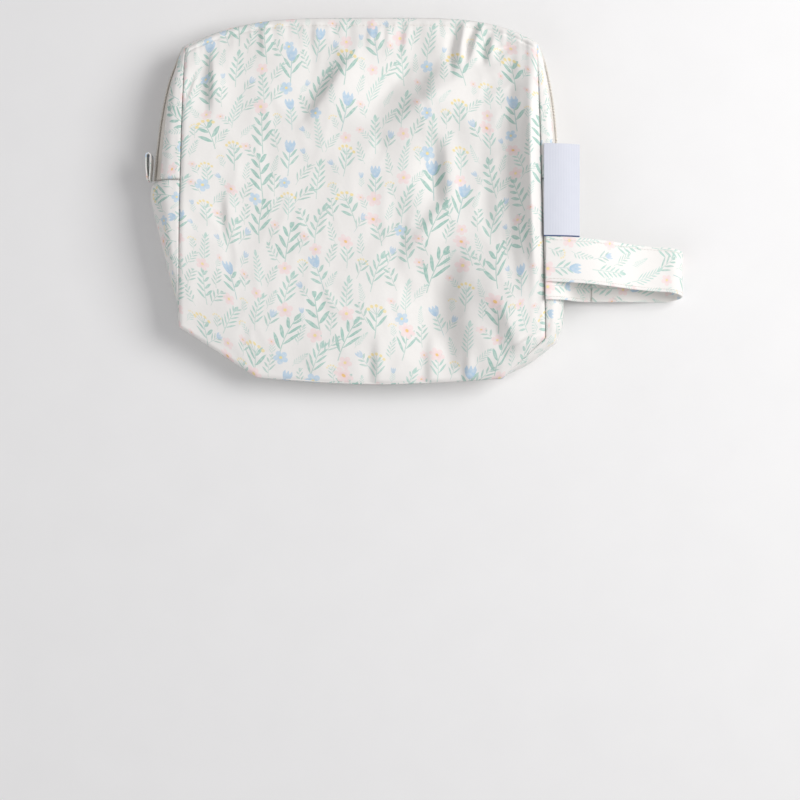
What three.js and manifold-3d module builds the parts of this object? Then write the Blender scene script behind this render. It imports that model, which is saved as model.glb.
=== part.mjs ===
// A zipped cloth wet bag lying on its back, with its front panel up, in millimetres.
// +Z is up, +Y runs to the zipped top of the bag and +X to the side with the strap handle.
// The origin is on the resting face, under the middle of the front panel.
//
// Two panels are joined by a gusset that runs right round them. Over the top, and half-way down
// each side, the gusset is a zip between two strips of cloth. Below the zip it is one strip.
// Lying down, the gusset stands out at both sides and is tucked in at the top and the bottom.

import * as THREE from 'three';
import { mergeVertices } from 'three/addons/utils/BufferGeometryUtils.js';
import Module from 'manifold-3d';

// Body
const panelWidth = 284;
const panelHeight = 288;
const gussetDepth = 76;
const lyingHeight = 50;
const clothWall = 1.2;
const seamGap = 0.3;
const dishDepth = 3;
const backLift = 2.4;
const backInset = 3;

// Zip
const zipWidth = 28;
const tapeLap = 4;
const tapeWall = 1;
const coilWidth = 5;
const coilHeight = 1.8;
const zipEndHeight = 16;

// Slider and its pull
const sliderLength = 12;
const sliderWidth = 9;
const sliderHeight = 3.2;
const pullLength = 26;
const pullWidth = 6;
const pullWall = 1.6;
const sliderDrop = 16;

// Folded loop of tape at the end of the zip
const loopLength = 22;
const loopWidth = 16;
const loopOpening = 2.6;
const loopWall = 1;

// Folded label in the handle side's seam
const labelWidth = 29;
const labelLength = 72;
const labelTop = 43;
const labelWall = 1;
const labelOpening = 1;
const labelDroop = 9;

// Strap handle, snapped to a short tab
const strapWidth = 35;
const strapReach = 111;
const strapWall = 1.4;
const strapTop = -29;
const strapSkew = 14;
const curlRadius = 11;
const tabReach = 58;
const tabRise = 6;
const snapLap = 18;
const snapRadius = 6;
const snapShank = 2;
const snapCap = 1.4;
const snapClearance = 0.4;

// Corners of the front panel, as shares of its width and height from its middle, clockwise from
// the lower left. The feet are where the slanting lower corners meet the bottom edge.
const corners = {
  lowerLeft: { x: -0.503, y: -0.341 },
  upperLeft: { x: -0.484, y: 0.415 },
  upperRight: { x: 0.484, y: 0.422 },
  lowerRight: { x: 0.508, y: -0.374 },
  rightFoot: { x: 0.391, y: -0.483 },
  leftFoot: { x: -0.289, y: -0.481 },
};
const crown = 0.5;
const crownSquareness = { left: 3.5, right: 4.6 };
const bottomSag = 0.018;

// Stations round the edge: 0 is the lower left corner, 1 the upper left, 2 the upper right and
// 3 the lower right. stand is how far the gusset's middle stands out there, or is tucked in, as
// a share of the gusset's depth, and rim is the front seam's height as a share of the lying height.
const stations = [
  { at: 0.0, stand: 0.0, rim: 0.64 },
  { at: 0.05, stand: 0.02, rim: 0.7 },
  { at: 0.14, stand: 0.095, rim: 0.78 },
  { at: 0.27, stand: 0.2, rim: 0.85 },
  { at: 0.4, stand: 0.3, rim: 0.9 },
  { at: 0.48, stand: 0.345, rim: 0.91 },
  { at: 0.54, stand: 0.315, rim: 0.91 },
  { at: 0.62, stand: 0.3, rim: 0.9 },
  { at: 0.74, stand: 0.265, rim: 0.88 },
  { at: 0.86, stand: 0.205, rim: 0.83 },
  { at: 0.95, stand: 0.125, rim: 0.76 },
  { at: 1.0, stand: 0.075, rim: 0.72 },
  { at: 1.06, stand: 0.045, rim: 0.68 },
  { at: 1.15, stand: 0.03, rim: 0.65 },
  { at: 1.25, stand: -0.11, rim: 0.64 },
  { at: 1.5, stand: -0.24, rim: 0.64 },
  { at: 1.82, stand: -0.2, rim: 0.7 },
  { at: 1.93, stand: -0.06, rim: 0.8 },
  { at: 2.0, stand: 0.055, rim: 0.86 },
  { at: 2.08, stand: 0.13, rim: 0.91 },
  { at: 2.24, stand: 0.195, rim: 0.96 },
  { at: 2.5, stand: 0.22, rim: 0.98 },
  { at: 2.8, stand: 0.235, rim: 0.95 },
  { at: 2.94, stand: 0.215, rim: 0.87 },
  { at: 3.0, stand: 0.15, rim: 0.8 },
  { at: 3.08, stand: 0.09, rim: 0.7 },
  { at: 3.16, stand: -0.03, rim: 0.6 },
  { at: 3.28, stand: -0.22, rim: 0.53 },
  { at: 3.5, stand: -0.3, rim: 0.5 },
  { at: 3.76, stand: -0.22, rim: 0.52 },
  { at: 3.92, stand: -0.08, rim: 0.58 },
];

// Main folds of the front panel. from and to are shares of its width and height from its middle,
// bow is how far the fold swings out from the straight line between them, and reach how wide it
// is, both as shares of the width. lift is a share of the lying height, below zero for a valley.
// The cloth leans, so a fold is steep on one side and slow on the other.
const folds = [
  { fromX: 0.005, fromY: 0.42, toX: -0.17, toY: 0.18, bow: 0.0, reach: 0.05, lift: 0.1 },
  { fromX: -0.06, fromY: 0.42, toX: -0.19, toY: 0.17, bow: 0.0, reach: 0.042, lift: -0.08 },
  { fromX: 0.31, fromY: 0.4, toX: 0.02, toY: 0.19, bow: 0.0, reach: 0.06, lift: 0.15 },
  { fromX: 0.235, fromY: 0.45, toX: 0.02, toY: 0.2, bow: 0.03, reach: 0.05, lift: -0.14 },
  { fromX: -0.402, fromY: 0.43, toX: -0.402, toY: 0.21, bow: 0.0, reach: 0.02, lift: 0.07 },
  { fromX: -0.43, fromY: 0.44, toX: -0.43, toY: 0.2, bow: 0.0, reach: 0.022, lift: -0.07 },
  { fromX: 0.238, fromY: 0.19, toX: 0.241, toY: -0.04, bow: 0.0, reach: 0.026, lift: 0.1 },
  { fromX: 0.197, fromY: 0.2, toX: 0.213, toY: -0.03, bow: 0.0, reach: 0.026, lift: -0.09 },
  { fromX: 0.28, fromY: 0.08, toX: 0.09, toY: -0.23, bow: 0.0, reach: 0.035, lift: 0.08 },
  { fromX: 0.49, fromY: 0.46, toX: 0.49, toY: -0.28, bow: -0.022, reach: 0.03, lift: 0.22 },
  { fromX: 0.42, fromY: 0.46, toX: 0.43, toY: -0.28, bow: -0.024, reach: 0.042, lift: -0.22 },
  { fromX: 0.345, fromY: -0.09, toX: 0.32, toY: -0.52, bow: 0.04, reach: 0.07, lift: 0.12 },
  { fromX: 0.235, fromY: -0.06, toX: 0.25, toY: -0.53, bow: -0.015, reach: 0.075, lift: -0.19 },
  { fromX: 0.375, fromY: -0.24, toX: 0.44, toY: -0.43, bow: 0.0, reach: 0.022, lift: 0.06 },
  { fromX: 0.345, fromY: -0.25, toX: 0.395, toY: -0.44, bow: 0.0, reach: 0.022, lift: -0.06 },
];
const steepSide = 1.6;
const slowSide = 0.6;
const foldFade = 0.045;

// How far in from its edge the back panel lifts off the floor, as a share of its size.
const backRim = 0.12;

// How pointed the gusset's section is: 1 is a plain fold, 2 a round one.
const gussetRoundness = 1.2;

// The gusset lies level beside its seams, for this share of its depth, and falls in between.
// Where it stands out less than shelfStand, a share of its depth too, it slopes more evenly.
const gussetShelf = 0.15;
const shelfStand = 0.2;

// How far the ends of the gusset stay from the panels, in walls of cloth.
const seamRoom = 1.6;

// Steps of the faceted surfaces
const frontSteps = 36;
const backSteps = 14;
const roundStep = 0.05;
const baseSteps = 6;
const stripSteps = 2;
const snapSides = 20;

const clamp01 = (value) => Math.min(1, Math.max(0, value));
const smooth = (value) => clamp01(value) ** 2 * (3 - 2 * clamp01(value));
const mix = (a, b, share) => a + (b - a) * share;

function corner(name) {
  return { x: panelWidth * corners[name].x, y: panelHeight * corners[name].y };
}

// A straight side between two corners.
function straightEdge(from, to, share) {
  const [a, b] = [corner(from), corner(to)];
  return { x: mix(a.x, b.x, share), y: mix(a.y, b.y, share) };
}

// The sides in the order of the stations. Once round the bag is one station for each.
const sides = [
  (share) => straightEdge('lowerLeft', 'upperLeft', share),
  topEdge,
  (share) => straightEdge('upperRight', 'lowerRight', share),
  bottomEdge,
];
const onceRound = sides.length;
const placeOf = (t) => ((t % onceRound) + onceRound) % onceRound;

// A smooth curve through one column of the stations, which closes on itself.
function stationValue(t, column) {
  const count = stations.length;
  const place = placeOf(t);
  let after = stations.findIndex((row) => row.at > place);
  if (after < 0) after = count;
  const row = (k) => {
    const turns = Math.floor(k / count);
    const found = stations[k - turns * count];
    return { at: found.at + turns * onceRound, value: found[column] };
  };
  const [a, b, c, d] = [row(after - 2), row(after - 1), row(after), row(after + 1)];
  const step = c.at - b.at;
  const k = (place - b.at) / step;
  const slopeB = ((c.value - a.value) / (c.at - a.at)) * step;
  const slopeC = ((d.value - b.value) / (d.at - b.at)) * step;
  const [k2, k3] = [k * k, k * k * k];
  return (2 * k3 - 3 * k2 + 1) * b.value + (k3 - 2 * k2 + k) * slopeB
    + (3 * k2 - 2 * k3) * c.value + (k3 - k2) * slopeC;
}

const standAt = (t) => gussetDepth * stationValue(t, 'stand');
const rimAt = (t) => lyingHeight * stationValue(t, 'rim');

// The bottom edge from the lower right corner to the lower left one, through the two feet.
function bottomEdge(share) {
  const path = ['lowerRight', 'rightFoot', 'leftFoot', 'lowerLeft'].map(corner);
  const lengths = path.slice(1).map((p, i) => Math.hypot(p.x - path[i].x, p.y - path[i].y));
  const total = lengths.reduce((sum, length) => sum + length, 0);
  let left = clamp01(share) * total;
  let part = 0;
  while (part < 2 && left > lengths[part]) {
    left -= lengths[part];
    part += 1;
  }
  const k = clamp01(left / lengths[part]);
  const sag = part === 1 ? bottomSag * panelHeight * Math.sin(Math.PI * k) : 0;
  return {
    x: mix(path[part].x, path[part + 1].x, k),
    y: mix(path[part].y, path[part + 1].y, k) - sag,
  };
}

// The top edge from the upper left corner to the upper right one, as a squared arch.
function topEdge(share) {
  const [a, b] = [corner('upperLeft'), corner('upperRight')];
  const across = 2 * share - 1;
  const power = across < 0 ? crownSquareness.left : crownSquareness.right;
  const foot = mix(a.y, b.y, share);
  const arch = 1 - Math.abs(across) ** power;
  return { x: mix(a.x, b.x, share), y: mix(foot, crown * panelHeight, arch) };
}

// The front seam at a station, with its height.
function seam(t) {
  const side = Math.floor(placeOf(t));
  const point = sides[side](placeOf(t) - side);
  return new THREE.Vector3(point.x, point.y, rimAt(t));
}

// The level direction that points out of the bag at a point of its edge.
function outward(point) {
  const x = (2 * point.x) / panelWidth;
  const y = (2 * point.y) / panelHeight;
  return new THREE.Vector3(x ** 3, y ** 3, 0).normalize();
}

// A patch that fills the space between four edges, given as one function of the station.
function patch(edge, u, v) {
  const [left, right] = [edge(v), edge(3 - v)];
  const [bottom, top] = [edge(onceRound - u), edge(1 + u)];
  const [lowerLeft, upperLeft, upperRight, lowerRight] = [0, 1, 2, 3].map(edge);
  const point = left.multiplyScalar(1 - u).addScaledVector(right, u);
  point.addScaledVector(bottom, 1 - v).addScaledVector(top, v);
  point.addScaledVector(lowerLeft, -(1 - u) * (1 - v)).addScaledVector(upperLeft, -(1 - u) * v);
  return point.addScaledVector(upperRight, -u * v).addScaledVector(lowerRight, -u * (1 - v));
}

function foldLift(x, y) {
  let lift = 0;
  for (const fold of folds) {
    const from = new THREE.Vector2(fold.fromX * panelWidth, fold.fromY * panelHeight);
    const line = new THREE.Vector2(fold.toX * panelWidth, fold.toY * panelHeight).sub(from);
    const length = line.length();
    line.divideScalar(length);
    const along = ((x - from.x) * line.x + (y - from.y) * line.y) / length;
    if (along <= 0 || along >= 1) continue;
    const swing = Math.sin(Math.PI * along);
    const aside = (x - from.x) * line.y - (y - from.y) * line.x;
    const straight = (aside + fold.bow * panelWidth * swing) / (fold.reach * panelWidth);
    const distance = straight * (straight > 0 === fold.lift > 0 ? steepSide : slowSide);
    lift += fold.lift * lyingHeight * Math.exp(-distance * distance) * swing ** 1.5;
  }
  return lift;
}

function frontPoint(u, v) {
  const point = patch(seam, u, v);
  const fade = smooth(Math.min(u, 1 - u, v, 1 - v) / foldFade);
  point.z -= dishDepth * Math.sin(Math.PI * u) * Math.sin(Math.PI * v);
  point.z += foldLift(point.x, point.y) * fade;
  return point;
}

// The gusset's middle surface. across runs from 0 at the front seam to 1 at the back one.
function gussetPoint(t, across) {
  const point = seam(t);
  const out = outward(point);
  const start = point.z - seamRoom * clothWall - seamGap;
  const end = backLift + seamRoom * clothWall + seamGap;
  const stand = standAt(t) * (1 - Math.abs(2 * across - 1) ** gussetRoundness);
  point.addScaledVector(out, stand - backInset * across);
  const fall = smooth((across - gussetShelf) / (1 - 2 * gussetShelf));
  const level = clamp01(standAt(t) / (shelfStand * gussetDepth));
  point.z = mix(start, end, mix(across, fall, level));
  return point;
}

function gussetNormal(t, across) {
  const small = 0.01;
  const along = gussetPoint(t + small, across).sub(gussetPoint(t - small, across));
  const low = Math.max(0, across - small);
  const high = Math.min(1, across + small);
  const down = gussetPoint(t, high).sub(gussetPoint(t, low));
  return along.cross(down).normalize();
}

const gussetAt = (t, across, out) =>
  gussetPoint(t, across).addScaledVector(gussetNormal(t, across), out);

const backEdge = (t) => gussetPoint(t, 1).setZ(0);

function backPoint(u, v) {
  const point = patch(backEdge, u, v);
  const rim = clamp01(1 - Math.min(u, 1 - u, v, 1 - v) / backRim);
  point.z = backLift * rim * rim;
  return point;
}

// Turns a list of points and triangles into a geometry whose faces point out.
function geometryOf(points, faces) {
  const volume = faces.reduce((sum, [a, b, c]) => {
    const cross = new THREE.Vector3().crossVectors(points[b], points[c]);
    return sum + points[a].dot(cross);
  }, 0);
  const turned = volume < 0 ? faces.map(([a, b, c]) => [a, c, b]) : faces;
  const geometry = new THREE.BufferGeometry().setFromPoints(points);
  geometry.setIndex(turned.flat());
  geometry.computeVertexNormals();
  return geometry;
}

// A wall between two surfaces over the same grid. place gives a point for a column, a row and a
// side of 1 or -1.
function wall(columns, rows, place) {
  const points = [];
  const faces = [];
  const index = (i, j, side) => (side * columns + i) * rows + j;
  for (const side of [1, -1]) {
    for (let i = 0; i < columns; i += 1) {
      for (let j = 0; j < rows; j += 1) points.push(place(i, j, side));
    }
  }
  const quad = (a, b, c, d) => faces.push([a, b, c], [a, c, d]);
  for (let i = 0; i + 1 < columns; i += 1) {
    for (let j = 0; j + 1 < rows; j += 1) {
      quad(index(i, j, 0), index(i + 1, j, 0), index(i + 1, j + 1, 0), index(i, j + 1, 0));
      quad(index(i, j, 1), index(i, j + 1, 1), index(i + 1, j + 1, 1), index(i + 1, j, 1));
    }
  }
  for (let i = 0; i + 1 < columns; i += 1) {
    const last = rows - 1;
    quad(index(i, 0, 0), index(i, 0, 1), index(i + 1, 0, 1), index(i + 1, 0, 0));
    quad(index(i + 1, last, 0), index(i + 1, last, 1), index(i, last, 1), index(i, last, 0));
  }
  for (let j = 0; j + 1 < rows; j += 1) {
    const last = columns - 1;
    quad(index(0, j + 1, 0), index(0, j + 1, 1), index(0, j, 1), index(0, j, 0));
    quad(index(last, j, 0), index(last, j, 1), index(last, j + 1, 1), index(last, j + 1, 0));
  }
  return geometryOf(points, faces);
}

// Joins and cuts of closed geometries.
const wasm = await Module();
wasm.setup();

function solid(geometry) {
  const bare = new THREE.BufferGeometry();
  bare.setAttribute('position', geometry.getAttribute('position'));
  bare.setIndex(geometry.index);
  const merged = mergeVertices(bare, 1e-4);
  return new wasm.Manifold(new wasm.Mesh({
    numProp: 3,
    vertProperties: merged.attributes.position.array,
    triVerts: new Uint32Array(merged.index.array),
  }));
}

function fromSolid(result) {
  const mesh = result.getMesh();
  const geometry = new THREE.BufferGeometry();
  geometry.setAttribute('position', new THREE.BufferAttribute(mesh.vertProperties, 3));
  geometry.setIndex(new THREE.BufferAttribute(mesh.triVerts, 1));
  geometry.computeVertexNormals();
  return geometry;
}

const cut = (geometry, tool) => fromSolid(solid(geometry).subtract(solid(tool)));
const join = (geometry, other) => fromSolid(solid(geometry).add(solid(other)));

const steps = (from, to, count) =>
  Array.from({ length: count + 1 }, (_, i) => mix(from, to, i / count));

function sheet(count, point) {
  const ticks = steps(0, 1, count);
  return wall(ticks.length, ticks.length, (i, j, side) => {
    const place = point(ticks[i], ticks[j]);
    if (side < 0) place.z -= clothWall;
    return place;
  });
}

// A band of the gusset from one station to another, over a list of shares of its depth. low and
// high are how far its faces stand out of the gusset's middle surface.
function band({ start, stop, depths, low, high }) {
  const places = steps(start, stop, Math.round((stop - start) / roundStep));
  return wall(places.length, depths.length, (i, j, side) =>
    gussetAt(places[i], depths[j], side > 0 ? high : low));
}

// The station on a side seam at a given height up the bag.
function stationAt(side, y) {
  const names = side === 'left' ? ['lowerLeft', 'upperLeft'] : ['upperRight', 'lowerRight'];
  const [a, b] = names.map(corner);
  return (side === 'left' ? 0 : 2) + (y - a.y) / (b.y - a.y);
}

const zipStart = stationAt('left', zipEndHeight);
const zipStop = stationAt('right', zipEndHeight);
const seamShare = seamGap / panelHeight;
const stripShare = 0.5 - zipWidth / 2 / gussetDepth;
const lapShare = tapeLap / gussetDepth;
const coilShare = coilWidth / 2 / gussetDepth;
const tapeTop = -clothWall / 2 - seamGap;
const coilFoot = tapeTop + seamGap;

const materials = {
  printedCloth: new THREE.MeshStandardMaterial({ color: 0xefe9e4, roughness: 0.6 }),
  zipTape: new THREE.MeshStandardMaterial({ color: 0xe6e1db, roughness: 0.85 }),
  zipPlastic: new THREE.MeshStandardMaterial({ color: 0xe9e5df, roughness: 0.4 }),
  satin: new THREE.MeshStandardMaterial({ color: 0xf1f0f6, roughness: 0.35 }),
  snapPlastic: new THREE.MeshStandardMaterial({ color: 0xf2f0ec, roughness: 0.35 }),
};

const bag = new THREE.Group();

function addPiece(name, geometry, material) {
  const mesh = new THREE.Mesh(geometry, material);
  mesh.name = name;
  bag.add(mesh);
  return mesh;
}

// Panels and gusset
addPiece('front_panel', sheet(frontSteps, frontPoint), materials.printedCloth);
addPiece('back_panel', sheet(backSteps, (u, v) => {
  const point = backPoint(u, v);
  point.z += clothWall;
  return point;
}), materials.printedCloth);
addPiece('base_gusset', band({
  start: zipStop + seamShare,
  stop: zipStart + onceRound - seamShare,
  depths: steps(0, 1, baseSteps),
  low: -clothWall / 2,
  high: clothWall / 2,
}), materials.printedCloth);

// Strips beside the zip, the tape that they are sewn to, and the closed coil
const zipRun = { start: zipStart, stop: zipStop };
const strip = { ...zipRun, low: -clothWall / 2, high: clothWall / 2 };
const mirrored = (depths) => depths.map((depth) => 1 - depth).reverse();
const stripDepths = [...steps(0, stripShare - lapShare, stripSteps), stripShare];
const tapeDepths = [stripShare - lapShare, stripShare, 0.5 - coilShare];
const coilDepths = [0.5 - coilShare, 0.5, 0.5 + coilShare];
addPiece('zip_strip_front', band({ ...strip, depths: stripDepths }), materials.printedCloth);
addPiece('zip_strip_back', band({ ...strip, depths: mirrored(stripDepths) }),
  materials.printedCloth);
addPiece('zip_tape', band({
  ...zipRun,
  depths: [...tapeDepths, 0.5, ...mirrored(tapeDepths)],
  low: tapeTop - tapeWall,
  high: tapeTop,
}), materials.zipTape);
addPiece('zip_coil', band({
  ...zipRun,
  depths: coilDepths,
  low: coilFoot,
  high: coilFoot + coilHeight,
}), materials.zipPlastic);

// A ribbon along a path of centre points, each with its width running level along Y.
function ribbon(path, width, thickness) {
  const side = (i) => {
    const before = path[Math.max(0, i - 1)];
    const after = path[Math.min(path.length - 1, i + 1)];
    return new THREE.Vector3(-(after.z - before.z), 0, after.x - before.x).normalize();
  };
  return wall(path.length, 2, (i, j, face) => {
    const point = path[i].clone().addScaledVector(side(i), (face * thickness) / 2);
    point.y += (j - 0.5) * width;
    return point;
  });
}

// Loop of tape at the end of the zip: two legs and a round end, open at the foot
const loopFoot = gussetAt(zipStart, 0.5, coilFoot + coilHeight + seamGap);
const loopReach = loopOpening + 2 * loopWall;
const loopProfile = new THREE.Shape();
loopProfile.moveTo(0, 0);
loopProfile.lineTo(0, loopLength - loopReach / 2);
loopProfile.absarc(-loopReach / 2, loopLength - loopReach / 2, loopReach / 2, 0, Math.PI, false);
loopProfile.lineTo(-loopReach, 0);
loopProfile.lineTo(-loopReach + loopWall, 0);
loopProfile.lineTo(-loopReach + loopWall, loopLength - loopReach / 2);
loopProfile.absarc(-loopReach / 2, loopLength - loopReach / 2, loopOpening / 2, Math.PI, 0, true);
loopProfile.lineTo(-loopWall, 0);
const loop = addPiece('zip_end_loop', new THREE.ExtrudeGeometry(loopProfile, {
  depth: loopWidth,
  bevelEnabled: false,
  curveSegments: 8,
}), materials.zipTape);
loop.position.set(loopFoot.x, loopFoot.y, loopFoot.z - loopWidth / 2);

// Label: a folded ribbon whose two ends are sewn into the side seam
function seamAt(y) {
  return seam(stationAt('right', y));
}
const labelMiddle = seamAt(labelTop - labelLength / 2);
const labelRoot = Math.max(seamAt(labelTop).x, seamAt(labelTop - labelLength).x) + seamGap;
const labelHeight = 2 * labelWall + labelOpening;
const labelProfile = new THREE.Shape();
const labelBend = labelWidth - labelHeight / 2;
const droop = (x) => -labelDroop * (x / labelWidth) ** 2.2;
const labelTicks = steps(0, labelBend, 6);
const trace = (ticks, height) => ticks.forEach((x) => labelProfile.lineTo(x, droop(x) + height));
const bendTicks = (radius, turns) => steps(-Math.PI / 2, Math.PI / 2, 6).slice(1, -1)
  .map((angle) => turns * angle)
  .forEach((angle) => labelProfile.lineTo(
    labelBend + radius * Math.cos(angle),
    droop(labelBend) + labelHeight / 2 + radius * Math.sin(angle),
  ));
labelProfile.moveTo(0, 0);
trace(labelTicks.slice(1), 0);
bendTicks(labelHeight / 2, 1);
trace([...labelTicks].reverse(), labelHeight);
trace(labelTicks, labelHeight - labelWall);
bendTicks(labelOpening / 2, -1);
trace([...labelTicks].reverse(), labelWall);
const label = addPiece('label', new THREE.ExtrudeGeometry(labelProfile, {
  depth: labelLength,
  bevelEnabled: false,
}), materials.satin);
label.rotation.x = Math.PI / 2;
label.position.set(labelRoot, labelTop, labelMiddle.z - clothWall);

// Strap and tab both leave the front seam, the strap on top. The tab runs out over the gusset and
// down to the snap. The strap goes on round its curl, rests there and comes back to the snap.
const strapMiddle = strapTop - strapWidth / 2;
const tabMiddle = strapMiddle - strapSkew;
const strapRoot = Math.max(seamAt(strapTop).x, seamAt(tabMiddle - strapWidth / 2).x) + seamGap;
const strapEnd = tabReach - snapLap;
const layerStep = strapWall + seamGap;
const gussetTop = [strapTop, tabMiddle - strapWidth / 2]
  .map((y) => gussetAt(stationAt('right', y), 0, clothWall / 2).z);
const tabHigh = Math.max(...gussetTop) + seamGap + strapWall / 2;
const tabLow = tabRise + strapWall / 2;
const curlCentre = strapReach - curlRadius;
const curlHeight = curlRadius + strapWall / 2;

// A smooth fall from one height to another, level at both ends.
function fall(from, to) {
  const reach = to.x - from.x;
  return new THREE.CubicBezierCurve3(
    from,
    new THREE.Vector3(from.x + 0.6 * reach, mix(from.y, to.y, 0.3), from.z),
    new THREE.Vector3(from.x + 0.55 * reach, mix(from.y, to.y, 0.7), to.z),
    to,
  );
}

const at = (x, y, z) => new THREE.Vector3(strapRoot + x, y, z);
const tabPath = [
  ...fall(at(0, tabMiddle, tabHigh), at(strapEnd, tabMiddle, tabLow)).getPoints(12),
  at(tabReach, tabMiddle, tabLow),
];
const curlY = strapMiddle - strapSkew / 2;
const strapPath = [
  ...fall(
    at(0, strapMiddle, tabHigh + layerStep),
    at(curlCentre, curlY, curlHeight + curlRadius),
  ).getPoints(12),
  ...steps(0, 1, 10).slice(1, -1).map((k) => {
    const angle = Math.PI * (0.5 - k);
    return at(
      curlCentre + curlRadius * Math.cos(angle),
      mix(curlY, tabMiddle, k),
      curlHeight + curlRadius * Math.sin(angle),
    );
  }),
  ...fall(
    at(curlCentre, tabMiddle, curlHeight - curlRadius),
    at(tabReach, tabMiddle, tabLow + layerStep),
  ).getPoints(8),
  at(strapEnd, tabMiddle, tabLow + layerStep),
];

// Snap: one plain piece, with a cap on each side of the two layers that it holds
function turned(profile) {
  const geometry = new THREE.LatheGeometry(
    profile.map(([radius, height]) => new THREE.Vector2(radius, height)),
    snapSides,
  );
  geometry.rotateX(Math.PI / 2);
  geometry.translate(strapRoot + strapEnd + snapLap / 2, tabMiddle, 0);
  return geometry;
}
const snapBottom = tabRise - seamGap - snapCap;
const snapTop = tabRise + 2 * layerStep + snapCap;
addPiece('strap_snap', turned([
  [0, snapBottom],
  [0.9 * snapRadius, snapBottom],
  [snapRadius, snapBottom + snapCap],
  [snapShank, snapBottom + snapCap],
  [snapShank, snapTop - snapCap],
  [snapRadius, snapTop - snapCap],
  [0.9 * snapRadius, snapTop],
  [0, snapTop],
]), materials.snapPlastic);

// Slider: its body on the coil and its pull lying down the zip from it, in one plain piece
const sliderAt = zipStop - sliderDrop / panelHeight;
const sliderFoot = gussetAt(sliderAt, 0.5, coilFoot + coilHeight + seamGap);
const sliderBody = new THREE.BoxGeometry(sliderHeight, sliderLength, sliderWidth);
sliderBody.translate(sliderHeight / 2, 0, 0);
const sliderPull = new THREE.BoxGeometry(pullWall, pullLength, pullWidth);
sliderPull.translate(sliderHeight, (sliderLength - pullLength) / 2, 0);
const slider = addPiece('zip_slider', join(sliderBody, sliderPull), materials.zipPlastic);
slider.position.copy(sliderFoot);

// The two layers of the strap, with the snap's hole through both
const holeRadius = snapShank + snapClearance;
const shankHole = turned([[0, 0], [holeRadius, 0], [holeRadius, snapTop], [0, snapTop]]);
const strap = ribbon(strapPath, strapWidth, strapWall);
const tab = ribbon(tabPath, strapWidth, strapWall);
addPiece('handle_strap', cut(strap, shankHole), materials.printedCloth);
addPiece('snap_tab', cut(tab, shankHole), materials.printedCloth);

export default bag;
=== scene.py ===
# %% [markdown]
# A zipped wet bag made of printed cloth, lying on its back. The solids of the bag come first,
# as a fixed frame that nothing here moves. Each soft solid is then stood for by a finer piece of
# cloth, worked out from the same sizes, so every piece lands where its solid is.

# %% The frame
import functools
import math

import bmesh
import bpy
from mathutils import Matrix, Vector, noise
from mathutils.geometry import interpolate_bezier


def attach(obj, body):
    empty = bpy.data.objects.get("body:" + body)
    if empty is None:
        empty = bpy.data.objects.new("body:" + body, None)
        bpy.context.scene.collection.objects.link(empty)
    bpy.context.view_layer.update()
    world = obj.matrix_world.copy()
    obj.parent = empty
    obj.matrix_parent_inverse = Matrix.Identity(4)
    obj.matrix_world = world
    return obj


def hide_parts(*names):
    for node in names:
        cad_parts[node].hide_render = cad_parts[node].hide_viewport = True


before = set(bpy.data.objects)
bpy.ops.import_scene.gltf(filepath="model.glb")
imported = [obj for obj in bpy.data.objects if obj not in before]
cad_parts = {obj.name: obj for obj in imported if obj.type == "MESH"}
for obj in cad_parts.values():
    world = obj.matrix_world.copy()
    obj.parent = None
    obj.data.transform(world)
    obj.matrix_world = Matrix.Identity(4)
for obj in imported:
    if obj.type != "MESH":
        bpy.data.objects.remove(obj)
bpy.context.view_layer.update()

MM = 0.001
print("nodes:", ", ".join(sorted(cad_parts)))

# %% [markdown]
# The sizes below are the real ones, in millimetres, and they are the same as the solids have.
# Every length that follows is worked out from them.

# %% Sizes
PANEL_WIDTH = 284
PANEL_HEIGHT = 288
GUSSET_DEPTH = 76
LYING_HEIGHT = 50
CLOTH_WALL = 1.2
SEAM_GAP = 0.3
DISH_DEPTH = 3
BACK_LIFT = 2.4
BACK_INSET = 3
ZIP_WIDTH = 28
TAPE_LAP = 4
ZIP_END_HEIGHT = 16

# %% [markdown]
# The outline has four corners and two feet. The stations run round it: 0 is the lower left
# corner, 1 the upper left, 2 the upper right and 3 the lower right. Each row says how far the
# gusset stands out there and how high the front seam lies. One smooth curve through the rows
# is closed on itself, so the gusset has no kink where it starts.

# %% Outline and stations
CORNERS = {
    "lower_left": (-0.503, -0.341),
    "upper_left": (-0.484, 0.415),
    "upper_right": (0.484, 0.422),
    "lower_right": (0.508, -0.374),
    "right_foot": (0.391, -0.483),
    "left_foot": (-0.289, -0.481),
}
CROWN = 0.5
SQUARENESS = {"left": 3.5, "right": 4.6}
BOTTOM_SAG = 0.018
ROUNDNESS = 1.2
SIDES = 4

#   at, stand, rim
STATIONS = (
    (0.0, 0.0, 0.64),
    (0.05, 0.02, 0.7),
    (0.14, 0.095, 0.78),
    (0.27, 0.2, 0.85),
    (0.4, 0.3, 0.9),
    (0.48, 0.345, 0.91),
    (0.54, 0.315, 0.91),
    (0.62, 0.3, 0.9),
    (0.74, 0.265, 0.88),
    (0.86, 0.205, 0.83),
    (0.95, 0.125, 0.76),
    (1.0, 0.075, 0.72),
    (1.06, 0.045, 0.68),
    (1.15, 0.03, 0.65),
    (1.25, -0.11, 0.64),
    (1.5, -0.24, 0.64),
    (1.82, -0.2, 0.7),
    (1.93, -0.06, 0.8),
    (2.0, 0.055, 0.86),
    (2.08, 0.13, 0.91),
    (2.24, 0.195, 0.96),
    (2.5, 0.22, 0.98),
    (2.8, 0.235, 0.95),
    (2.94, 0.215, 0.87),
    (3.0, 0.15, 0.8),
    (3.08, 0.09, 0.7),
    (3.16, -0.03, 0.6),
    (3.28, -0.22, 0.53),
    (3.5, -0.3, 0.5),
    (3.76, -0.22, 0.52),
    (3.92, -0.08, 0.58),
)


def mix(a, b, share):
    return a + (b - a) * share


def clamp01(value):
    return min(1.0, max(0.0, value))


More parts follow.
